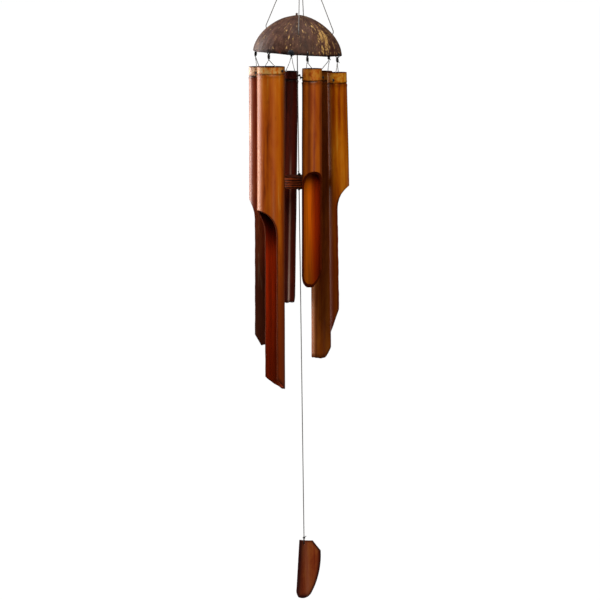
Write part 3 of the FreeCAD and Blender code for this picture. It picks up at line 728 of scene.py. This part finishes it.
def rim_ties():
    for number, (name, azimuth) in enumerate(TIES.items()):
        out = SHELL_TURN @ compass(azimuth)
        side = SHELL_UP.cross(out)
        low = rim_point(azimuth) - SHELL_UP * 0.85
        high = rim_point(azimuth, TIE_HOLE_UP)
        half = (high - low).length / 2
        foot = rim_point(azimuth) - Vector((0, 0, TIE_DROP))
        tag = (out - Vector((0, 0, 1.5)), out * 2.2 + Vector((0.6, 0, -2.4)),
               out * 1.9 + Vector((0.9, 0, -4.0)))
        lean = (0.10 * sin(number * 2.1), 0.08 * cos(number * 1.7), 1.0)
        parts = [loop((low + high) / 2 + side * shift, out, SHELL_UP, 2.5 + grow, half + grow, 3.2, 0.52)
                 for shift, grow in ((-0.28, 0.0), (0.3, 0.12))]
        parts += [wound_knot(foot + Vector((0, 0, 3.9)), lean, 2.0, 3.4, 0.52, 5.0, number * 1.3, [tag]),
                  loop(foot + Vector((0, 0, 0.25)), side, (0, 0, 1), 0.8, 0.75, 2.0, 0.3, 24)]
        tied("rim_knot_" + name, parts, "canopy", "rim_tie_" + name)


def front_knot():
    """The larger knot on the front of the rim, with its small stop inside."""
    out = SHELL_TURN @ compass(FRONT_KNOT)
    side, up = SHELL_UP.cross(out), SHELL_UP
    at = rim_point(FRONT_KNOT, FRONT_KNOT_UP)
    outside = at + out * (SHELL_WALL / 2 + 4.2)
    inside = at - out * (SHELL_WALL / 2 + 1.9)
    tags = [(side * 1.8 - up * 1.8, side * 3.6 - up * 1.8, side * 4.1 - up * 3.9),
            (-side * 1.8 - up * 1.2, -side * 3.8 - up, -side * 4.1 - up * 3.6)]
    parts = [wound_knot(outside, side, 3.8, 4.0, 0.8, 3.6, 0.3, tags),
             wound_knot(inside, side, 1.75, 1.75, 0.45, 3.0, 1.1),
             sweep([inside, at, outside], 0.62)]
    tied("front_rim_knot", parts, "canopy", "front_knot", material=BLUE_BLACK)


def lumps(a, p):
    """How far the shell's skin stands off the smooth dome at an azimuth and polar angle."""
    low = 0.35 * np.sin(2 * a + 0.7) * np.sin(p * 2.0) + 0.22 * np.sin(5 * a + 3 * p + 1.0)
    low += 0.16 * np.sin(9 * a - 4 * p) * np.sin(3 * p) + 0.10 * np.sin(17 * a + 7 * p + 2.0)
    ribs = 0.10 * np.sin(41 * a + 2 * np.sin(6 * p)) + 0.07 * np.sin(67 * a + 3 * np.sin(4 * p + 1))
    return low - 0.55 + ribs * np.clip(np.sin(p), 0, 1)


def shell_holes():
    lean = radians(HANGER_HOLE_LEAN)
    rods = []
    for azimuth, height in HANGER_HOLES:
        reach = SHELL_R * (1 - (height / SHELL_H) ** SHELL_POWER) ** (1 / SHELL_POWER)
        mouth = SHELL_FRAME @ (compass(azimuth) * reach + Vector((0, 0, height)))
        inward = SHELL_TURN @ (compass(azimuth) * -sin(lean) - Vector((0, 0, cos(lean))))
        rods.append((mouth - inward * 4, mouth + inward * 9, HANGER_HOLE_R))
    for azimuth, up in [(a, TIE_HOLE_UP) for a in TIES.values()] + [(FRONT_KNOT, FRONT_KNOT_UP)]:
        at, across = rim_point(azimuth, up), SHELL_TURN @ compass(azimuth) * 5
        rods.append((at - across, at + across, TIE_HOLE_R))
    return rods + [CENTRE_HOLE]


def coconut_shell():
    around, down = 240, 76
    azimuths = np.arange(around) * TURN / around
    turns = np.linspace(0, pi / 2, down + 1)[1:]
    points = []
    marks = {name: [] for name in ("fibre", "where", "gold", "groove", "inner", "border")}

    def put(local, **values):
        points.append(tuple(SHELL_FRAME @ Vector(local)))
        for name, value in {"where": local, **values}.items():
            marks[name].append(value)
        return len(points) - 1

    def row(turn, inset, is_inner, drop=0.0, rim=0.0):
        """One ring of points, from the apex (turn 0) to the rim (turn 90 degrees)."""
        rise = (SHELL_H - inset) * max(cos(turn), 0.0) ** (2 / SHELL_POWER)
        reach = (SHELL_R - inset) * sin(turn) ** (2 / SHELL_POWER)
        made = []
        for a, off in zip(azimuths, lumps(azimuths, turn) * (0.25 if is_inner else 1.0)):
            x, y, bearing = sin(a), -cos(a), degrees(a) % 360
            r = reach + off * sin(turn)
            z = rise + off * cos(turn) - drop
            if rim:
                z += 0.18 * sin(7 * a) + 0.12 * sin(13 * a + 1.0) + 0.18
            toward = max(cos(a - radians(38.0)), 0.0)
            band = bell(bearing - 42.0, 11.0)
            height = bell(degrees(turn) - 62.0, 24.0)
            front = max(cos(a + radians(20.0)), 0.0) ** 6
            dark = 1.5 * bell(max(rise - drop, 0.0), 2.6 + 2.4 * front)
            made.append(put((x * r, y * r, z), fibre=(x, y, turn * 1.2),
                            gold=band * height + 0.35 * toward ** 2 * sin(turn),
                            groove=bell(bearing - 53.0, 2.6) * sin(turn) ** 4,
                            inner=float(is_inner), border=max(rim, min(dark, 1.0))))
        return made

    def pole(inset, is_inner):
        off = float(lumps(0.0, 0.0)) * (0.25 if is_inner else 1.0)
        return put((0.0, 0.0, SHELL_H - inset + off), fibre=(0.0, 0.0, 0.0), gold=0.0, groove=0.0,
                   inner=float(is_inner), border=0.0)

    top = pole(0.0, False)
    rows = [row(t, 0.0, False) for t in turns[:-3]]
    for turn, inset, is_inner, drop, rim in (
            (turns[-3], 0.0, False, 0.0, 0.35), (turns[-2], 0.15, False, 0.0, 0.8),
            (pi / 2, 0.75, False, 0.0, 1.0), (pi / 2, 1.75, True, 0.05, 1.0),
            (pi / 2, 2.8, True, 0.0, 1.0), (turns[-2], 3.4, True, 0.0, 0.8)):
        rows.append(row(turn, inset, is_inner, drop, rim))
    rows += [row(t, SHELL_WALL, True) for t in turns[-3::-1]]
    bottom = pole(SHELL_WALL, True)
    faces = []
    for k in range(around):
        m = (k + 1) % around
        faces.append((top, rows[0][k], rows[0][m]))
        faces.append((bottom, rows[-1][m], rows[-1][k]))
        for upper, lower in zip(rows, rows[1:]):
            faces.append((upper[k], lower[k], lower[m], upper[m]))
    mesh = to_mesh("coconut_half_shell", points, faces, 60.0)
    give(mesh, marks)
    mesh = drill(mesh, "coconut_half_shell", shell_holes())
    link("coconut_half_shell", mesh, "canopy", coconut_material(), "coconut_shell")


# ------------ bamboo tubes

SCOOP_R = 40.0
SEPTUM = 2.6
SEPTUM_ABOVE = 1.0
LINE_HOLE_R = 1.1
AROUND = 84
MOUTH_ROWS = 26
TONGUE_ROWS = 34
PLAIN = dict(flare=1.0, turn=0.0, flat=0.0, bevel=15.0, reach=1.0, lean=0.0, lean_to=0.0, shade=40.0)
TUBES = {
    "front_left": dict(PLAIN, azimuth=-39.6, distance=54.5, radius=18.4, wall=3.2, top=-185.4,
                       collar=9.8, holes=5.2, mouth=190.5, length=433.5, facing=-62.0, turn=21.0,
                       bevel=16.0, shade=60.0, seed=1.0),
    "left": dict(PLAIN, azimuth=-105.2, distance=53.3, radius=13.5, wall=2.7, top=-188.2,
                 collar=12.7, holes=7.6, mouth=177.4, length=376.0, facing=-105.0, flat=0.2,
                 reach=0.45, seed=2.0),
    "back": dict(PLAIN, azimuth=190.3, distance=55.9, radius=11.2, wall=2.4, top=-196.3,
                 collar=11.0, holes=5.8, mouth=140.0, length=315.7, facing=190.0, bevel=14.0,
                 reach=0.6, lean=0.8, lean_to=-90.0, seed=3.0),
    "front": dict(PLAIN, azimuth=20.3, distance=56.0, radius=13.2, flare=1.02, wall=2.7, top=-187.4,
                  collar=16.6, holes=11.8, mouth=135.4, length=294.0, facing=14.0, flat=0.05,
                  bevel=26.0, shade=16.0, seed=4.0),
    "back_right": dict(PLAIN, azimuth=140.1, distance=50.8, radius=14.6, wall=2.8, top=-195.5,
                       collar=12.6, holes=7.6, mouth=150.0, length=390.2, facing=135.0, flat=0.2,
                       reach=0.5, lean=0.2, lean_to=90.0, seed=5.0),
    "right": dict(PLAIN, azimuth=71.2, distance=55.8, radius=13.0, flare=1.15, wall=2.7, top=-194.2,
                  collar=14.7, holes=9.6, mouth=150.6, length=353.1, facing=86.0, turn=-15.0,
                  flat=-0.2, bevel=34.0, lean=1.0, lean_to=90.0, seed=6.0),
}
STAIN = {   # the skin's dark, middle, light, collar and foot colours; how dark the scar is; gloss
    "front_left": ((0.12, 0.016, 0.001), (0.32, 0.06, 0.001), (0.40, 0.105, 0.002),
                   (0.44, 0.26, 0.08), (0.12, 0.015, 0.001), 0.75, 0.15),
    # the left tube's pale collar colour is partly painted highlight on a tan collar
    "left": ((0.11, 0.013, 0.004), (0.25, 0.036, 0.01), (0.34, 0.08, 0.022),
             (0.98, 0.74, 0.50), (0.022, 0.003, 0.001), 1.0, 0.18),
    "back": ((0.022, 0.0025, 0.0015), (0.062, 0.006, 0.003), (0.10, 0.012, 0.006),
             (0.10, 0.016, 0.008), (0.05, 0.005, 0.003), 1.0, 0.18),
    "front": ((0.10, 0.011, 0.001), (0.24, 0.04, 0.001), (0.35, 0.082, 0.002),
              (0.43, 0.165, 0.014), (0.11, 0.012, 0.001), 1.0, 0.20),
    "back_right": ((0.07, 0.01, 0.002), (0.15, 0.03, 0.003), (0.26, 0.07, 0.007),
                   (0.30, 0.11, 0.012), (0.11, 0.012, 0.001), 1.0, 0.025),
    "right": ((0.095, 0.01, 0.002), (0.20, 0.035, 0.001), (0.34, 0.097, 0.002),
              (0.42, 0.20, 0.022), (0.095, 0.014, 0.001), 1.0, 0.01),
}
BORES = {   # inside colours on the left and on the right, seen from the front: where they differ, painted light on one wall and painted shade on the other
    "front_left": ((0.31, 0.022, 0.001), (0.38, 0.04, 0.002)),
    "left": ((0.028, 0.007, 0.003), (0.045, 0.01, 0.003)),
    "back": ((0.03, 0.006, 0.003), (0.03, 0.006, 0.003)),
    "front": ((0.46, 0.10, 0.001), (0.30, 0.025, 0.001)),
    "back_right": ((0.09, 0.02, 0.005), (0.09, 0.02, 0.005)),
    "right": ((0.20, 0.03, 0.005), (0.16, 0.02, 0.004)),
}
PAINTED_SIDE_SHADE = {   # painted shade down the sides that face away from the lamps: azimuth, half width in degrees, strength; then how dark the foot is
    "front_left": ([(78.0, 22.0, 0.85), (-12.0, 9.0, 0.2)], 0.95),
    "left": ([(-40.0, 18.0, 0.3)], 0.95),
    "back": ([(60.0, 20.0, 0.3)], 0.0),
    "front": ([(-76.0, 15.0, 0.8), (-17.0, 10.0, 0.6), (70.0, 20.0, 0.6)], 0.3),
    "back_right": ([(22.0, 34.0, 0.62), (-34.0, 18.0, 0.45)], 0.0),
    "right": ([(-60.0, 34.0, 0.95), (84.0, 12.0, 0.6)], 0.9),
}
PAINTED_HIGHLIGHTS = {   # one painted highlight streak, where a lamp's reflection falls: its azimuth, half width in degrees and strength; its colour
    "front_left": ((10.0, 4.0, 0.35), (0.46, 0.22, 0.06)),
    "left": ((-58.0, 9.0, 0.15), (0.40, 0.20, 0.12)),
    "back": ((13.0, 5.5, 0.8), (0.60, 0.44, 0.38)),
    "front": ((20.0, 5.0, 0.2), (0.40, 0.16, 0.05)),
    "back_right": ((-52.0, 12.0, 0.3), (0.34, 0.16, 0.05)),
    "right": ((60.0, 11.0, 0.5), (0.34, 0.12, 0.06)),
}


def tube_matrix(t):
    """From the tube's own axes (mouth towards +X, top at 0) to the hanging chime's."""
    turn = Matrix.Rotation(radians(t["facing"] - 90.0), 4, "Z")
    lean = Matrix.Rotation(-radians(t["lean"]), 4, compass(t["lean_to"] + 90.0))
    holes = Vector((SHELL_AT.x, 0, t["top"] - t["holes"])) + compass(t["azimuth"]) * t["distance"]
    return Matrix.Translation(holes) @ lean @ turn @ Matrix.Translation(Vector((0, 0, t["holes"])))


def plain_radius(t, s):
    taper = np.clip((s - t["collar"]) / (t["length"] - t["collar"]), 0, 1)
    return t["radius"] * (1 + (t["flare"] - 1) * taper)


def outer_radius(t, s, phi):
    """The culm's skin: taper, slightly out of round, the node's swelling and its sheath scar."""
    seed = t["seed"]
    r = plain_radius(t, s) * (1 + 0.006 * np.cos(2 * phi - seed) + 0.003 * np.cos(3 * phi + 2 * seed))
    r = r + 0.07 * np.sin(s / 31.0 + seed) + 0.05 * np.sin(s / 13.0 + 2 * phi + seed)
    groove = bell(phi - pi - 0.5 * sin(seed), 0.28)
    d = s - t["collar"]
    swelling = 0.38 * bell(d - 2.7, 1.9) + 0.16 * bell(d + 1.9, 1.3)
    return r - 0.10 * groove * np.clip(s / 60.0, 0, 1) + swelling - 0.50 * bell(d, 0.85)


def inner_radius(t, s, phi):
    r = plain_radius(t, s) - t["wall"]
    return r * (1 + 0.01 * np.cos(2 * phi - t["seed"])) + 0.06 * np.sin(s / 23.0 + t["seed"])


def tube_marks(name, s, phi):
    """What the stain, the painted shade and the painted highlight depend on, at heights s under the top and
    angles phi from the mouth.
    """
    t = TUBES[name]
    shade_bands, foot_dark = PAINTED_SIDE_SHADE[name]
    d = s - t["collar"]
    azimuth = t["facing"] + np.degrees(phi)
    way = (s - t["mouth"]) / (t["length"] - t["mouth"])

    def streak(at, width, strength):
        off = (azimuth - at + 180.0) % 360.0 - 180.0
        return strength * bell(off, width)

    return {"ring": np.clip(bell(d, 1.25) + 0.45 * bell(d - 2.4, 1.8), 0, 1),
            "above": 1.0 / (1.0 + np.exp(np.minimum((d + 0.5) * 2.2, 50.0))),
            # how far the painted shade in the bore has faded
            "depth": np.clip((s - t["mouth"] + 2.0) / t["shade"], 0, 1) ** 1.5,
            # painted shade down the tube's shaded sides
            "painted_shade": np.max([streak(*shade_band) for shade_band in shade_bands], axis=0),
            "low": foot_dark * np.clip(way * 1.6 + 0.15, 0, 1),
            "east": np.sin(np.radians(azimuth)),
            # painted highlight streak, stronger towards the foot
            "painted_highlight": streak(*PAINTED_HIGHLIGHTS[name][0]) * np.clip(way * 2.5 + 0.5, 0, 1),
            "way": np.clip(way, 0, 1)}


def tube_mesh(name):
    t = TUBES[name]
    seed, node, radius = t["seed"], t["collar"], t["radius"]
    n = AROUND
    low_r = radius * t["flare"]
    flat = t["flat"] * low_r
    foot = t["mouth"] + sqrt(2 * SCOOP_R * (low_r - flat) - (low_r - flat) ** 2)
    tip = -low_r * t["reach"]
    slope = t["bevel"] / (flat - tip)
    circle = np.arange(n) * TURN / n
    share_round = np.linspace(0, 1, n + 1)
    points, notes, faces = [], [], []

    def place(s, phi, r, skin, inside, lips=0.0):
        """Adds points at heights s, angles phi and radii r; returns their indexes."""
        phi = np.atleast_1d(np.asarray(phi, float))
        s, r, skin, inside, lips = (np.broadcast_to(v, phi.shape) for v in (s, r, skin, inside, lips))
        bow = 0.45 * np.sin(pi * np.clip(s / t["length"], 0, 1)) * cos(seed)
        wave = 0.45 * np.sin(phi + seed) + 0.18 * np.sin(3 * phi + 2 * seed)
        near = bell(s - node, 9.0)
        first = len(points)
        points.extend(zip(r * np.cos(phi) + bow, r * np.sin(phi), -(s + wave * near * skin)))
        notes.extend(zip(s, phi, skin, inside, lips))
        return list(range(first, len(points)))

    def ring(s, radius_of, inside, lips=0.0, shrink=1.0, drop=0.0, skin=False):
        made = place(s, circle, radius_of(t, s, circle) * shrink - drop, skin, inside, lips)
        return made + [made[0]]

    def mouth_rows(radius_of):
        """Heights and half angles of the opening, from its top down to the tongue."""
        half = np.linspace(0, acos(min(max(flat / radius_of(t, foot, 0.4), -1), 1)), MOUTH_ROWS + 1)
        d = np.clip(radius_of(t, t["mouth"], half) * np.cos(half) - flat, 0, None)
        return foot - np.sqrt(np.clip(2 * SCOOP_R * d - d * d, 0, None)), half

    def spread(half):
        return half + share_round * 2 * (pi - half)

    def from_cut(phi, half):
        return (np.minimum(phi, TURN - phi) - half) * radius

    def open_rows(radius_of, skin, inside, inset):
        """Rows from the mouth's top to the tongue's end, drawn back from the cut by inset."""
        rows, edges = [], []
        heights, halves = mouth_rows(radius_of)
        for height, half in zip(heights[1:], halves[1:]):
            half += 0.10 * sin(height * 0.9 + seed) * min(1.0, half * 2) / radius
            phi = spread(half + inset / radius)
            lips = bell(from_cut(phi, half), 1.3)
            rows.append(place(height, phi, radius_of(t, height, phi), skin, inside, lips))
            edges.append((np.full(n + 1, height), spread(half)))
        for j in range(1, TONGUE_ROWS + 1):
            share = j / TONGUE_ROWS
            middle = radius_of(t, foot + share * (t["length"] - foot), 1.5)
            half = acos(min(max(flat / middle, -1), 1))
            half += (0.10 * sin(j * 1.7 + seed) + 0.14 * sin(j * 0.6 + 2 * seed)) / radius
            phi = spread(half + inset / radius)
            x = radius_of(t, t["length"] - 5.0, phi) * np.cos(phi)
            ragged = 0.30 * np.sin(phi * 6 + seed) + 0.22 * np.sin(phi * 11 + 2 * seed) - 0.45
            end = t["length"] - np.clip(slope * (x - tip), 0, None) + ragged
            s = foot + share * (end - inset - foot)
            lips = np.maximum(bell(from_cut(phi, half), 1.1), bell(end - s, 1.3))
            rows.append(place(s, phi, radius_of(t, s, phi), skin, inside, lips))
            edges.append((foot + share * (end - foot), spread(half)))
        return rows, edges

    # the skin, from the upper edge down past the node to the tongue's end
    outer_start = mouth_rows(outer_radius)[0][0]
    offsets = [-4.4, -3.4, -2.6, -1.9, -1.4, -1.0, -0.7, -0.45, -0.2, 0.05, 0.3, 0.55, 0.8, 1.1,
               1.5, 2.0, 2.6, 3.3, 4.1, 5.2, 6.6, 8.5, 11.0, 15.0]
    levels = [0.45, 1.2, 2.4, *np.arange(4.0, node - 5.2, 1.6)]
    levels += [node + d for d in offsets if node + d > levels[-1] + 0.4]
    levels += [*np.linspace(node + 21.0, outer_start - 4.0, 22), outer_start - 1.6, outer_start - 0.35]
    skin = [ring(s, outer_radius, 0.0, 0.55 * bell(s, 1.2), skin=True) for s in levels]
    outer_rows, outer_edges = open_rows(outer_radius, True, 0.0, 0.35)

    # the rim of the upper end, the pocket above the septum, and the septum's upper face
    top = node - SEPTUM_ABOVE
    low = top + SEPTUM
    cap = [ring(0.12, outer_radius, 0.4, 0.8, drop=0.12),
           ring(0.0, outer_radius, 0.5, 0.6, drop=0.45),
           ring(0.05, inner_radius, 0.5, 0.6, drop=-0.45),
           ring(0.5, inner_radius, 1.0, 0.5)]
    cap += [ring(s, inner_radius, 1.0) for s in np.linspace(1.6, top - 0.9, 5)]
    cap += [ring(top + d, inner_radius, 1.0, shrink=shrink)
            for d, shrink in ((-0.25, 0.97), (0.05, 0.88), (0.25, 0.6), (0.35, 0.25))]
    cap_pole = place(top + 0.4, 0.0, 0.0, False, 1.0)[0]

    # the septum's lower face and the bore
    bore_pole = place(low - 0.3, 0.0, 0.0, False, 1.0)[0]
    bore = [ring(low + d, inner_radius, 1.0, shrink=shrink)
            for d, shrink in ((-0.25, 0.25), (-0.1, 0.6), (0.1, 0.88), (0.6, 0.97))]
    inner_start = mouth_rows(inner_radius)[0][0]
    bore += [ring(s, inner_radius, 1.0)
             for s in (*np.linspace(low + 2.0, inner_start - 3.0, 16), inner_start - 0.35)]
    inner_rows, inner_edges = open_rows(inner_radius, False, 1.0, 0.3)

    def strips(rows):
        for a, b in zip(rows, rows[1:]):
            faces.extend((a[c], a[c + 1], b[c + 1], b[c]) for c in range(n))

    def fan(pole, row):
        faces.extend((pole, row[c], row[c + 1]) for c in range(n))

    strips(skin + outer_rows)
    strips([skin[0], *cap])
    fan(cap_pole, cap[-1])
    fan(bore_pole, bore[0])
    strips(bore + inner_rows)

    # the cut: two lines of points between the skin's edge and the bore's
    last = len(outer_rows) - 1
    walk = [(j, 0) for j in range(last + 1)] + [(last, c) for c in range(1, n + 1)]
    walk += [(j, n) for j in range(last - 1, -1, -1)]

    def edge_point(radius_of, edges, j, c):
        s, phi = edges[j][0][c], edges[j][1][c]
        r = radius_of(t, s, phi)
        return np.array((r * cos(phi), r * sin(phi), s))

    def cut_point(j, c, share):
        a = edge_point(outer_radius, outer_edges, j, c)
        x, y, s = a + (edge_point(inner_radius, inner_edges, j, c) - a) * share
        return place(s, atan2(y, x), hypot(x, y), False, 0.5, 0.6)[0]

    lanes = [(outer_rows[j][c], cut_point(j, c, 0.11), cut_point(j, c, 0.89), inner_rows[j][c])
             for j, c in walk]
    outer_top = place(outer_start, 0.0, outer_radius(t, outer_start, 0.0) - 0.3, False, 0.5, 0.6)[0]
    inner_top = place(inner_start, 0.0, inner_radius(t, inner_start, 0.0) + 0.3, False, 0.5, 0.6)[0]
    lanes.append((skin[-1][0], outer_top, inner_top, bore[-1][0]))
    for a, b in zip(lanes, lanes[1:] + lanes[:1]):
        faces.extend((a[k], b[k], b[k + 1], a[k + 1]) for k in range(3))

    matrix = tube_matrix(t)
    mesh = to_mesh("chime_" + name, [matrix @ Vector(p) for p in points], faces, 45.0)
    s, phi, is_skin, inside, lips = np.array(notes, float).T
    marks = tube_marks(name, s, phi)
    marks["ring"] = marks["ring"] * is_skin
    give(mesh, {"local": points, "inside": inside, "lip": lips, **marks})
    return mesh, matrix


def bamboo_tube(name):
    t = TUBES[name]
    mesh, matrix = tube_mesh(name)
    a = radians(90.0 + t["turn"])
    across = Vector((cos(a), sin(a), 0)) * (t["radius"] + 3)
    level = Vector((0, 0, -(t["holes"] + 0.45)))
    mesh = drill(mesh, "chime_" + name, [(matrix @ (level - across), matrix @ (level + across), LINE_HOLE_R)])
    skin = bamboo_skin("bamboo_" + name, t["seed"], STAIN[name], PAINTED_HIGHLIGHTS[name][1])
    bare = bamboo_inside("bamboo_inside_" + name, t["seed"], STAIN[name][0], *BORES[name])
    link("chime_" + name, mesh, "tube_" + name, skin, "bamboo_tube_" + name)
    mesh.materials.append(bare)
    inside = np.zeros(len(mesh.vertices), np.float32)
    mesh.attributes["inside"].data.foreach_get("value", inside)
    for face in mesh.polygons:
        face.material_index = int(np.mean(inside[list(face.vertices)]) > 0.2)


# ------------ clapper, catcher and ring

CULM_X = 0.013
CULM_MIDDLE_R = 0.0227
TIE_X = 0.00545
EDGE_BANDS = 60


def remeshed(node, name, voxel, smooth):
    """A copy of a CAD piece with even faces and softly worn edges."""
    copy = add(name, NODES[node].data.copy())
    remesh = copy.modifiers.new("remesh", "REMESH")
    remesh.mode = "VOXEL"
    remesh.voxel_size = voxel
    soften = copy.modifiers.new("soften", "SMOOTH")
    soften.factor = 0.5
    soften.iterations = smooth
    mesh = evaluated(copy, name)
    mesh.shade_smooth()
    return mesh


def vertex_values(mesh, field):
    values = np.zeros(len(mesh.vertices) * 3, np.float32)
    mesh.vertices.foreach_get(field, values)
    return values.reshape(-1, 3)


def wind_catcher():
    mesh = remeshed("wind_catcher", "split_bamboo_catcher", 0.00045, 5)
    co, normals = vertex_values(mesh, "co"), vertex_values(mesh, "normal")
    culm_y = sqrt(CULM_MIDDLE_R ** 2 - (CULM_X - TIE_X) ** 2)
    radial = co[:, :2] - (CULM_X, culm_y)
    facing = (normals[:, :2] * radial).sum(1) / np.linalg.norm(radial, axis=1)
    x, z = co[:, 0], co[:, 2]
    low, high = z.min(), z.max()
    share = (z - low) / (high - low)
    side = np.maximum(1.2 * bell(z - low, 0.0065), 0.8 * bell(high - z, 0.0022))
    for k in range(EDGE_BANDS):
        band = np.abs(share - (k + 0.5) / EDGE_BANDS) < 0.75 / EDGE_BANDS
        if band.any():
            from_left, from_right = x[band] - x[band].min(), x[band].max() - x[band]
            near = bell(np.minimum(from_left, from_right), 0.0034)
            side[band] = np.maximum(side[band], 1.2 * np.maximum(near, bell(from_left, 0.0068)))
    sawn = np.clip(1.0 - np.abs(facing), 0, 1) * 1.4
    # where the painted highlight stripe runs, at a given x
    middle = 0.0088 + 0.0015 * np.sin((z - low) * 60)
    give(mesh, {"border": np.clip(np.maximum(sawn, side), 0, 1),
                "pith": np.clip(-facing * 1.6, 0, 1),
                "highlight_stripe": bell(x - middle, 0.0034)})
    link("split_bamboo_catcher", mesh, "wind_catcher", catcher_material(), "wind_catcher")


def clapper():
    mesh = remeshed("clapper", "clapper_disc", 0.0007, 3)
    link("clapper_disc", mesh, "clapper", clapper_material(), "clapper")


ring_cords()
hanger_cords()
tube_lines()
centre_pieces()
rim_ties()
front_knot()
coconut_shell()
for tube in TUBES:
    bamboo_tube(tube)
clapper()
wind_catcher()
NODES["hanging_ring"].data.materials.clear()
NODES["hanging_ring"].data.materials.append(steel_material())
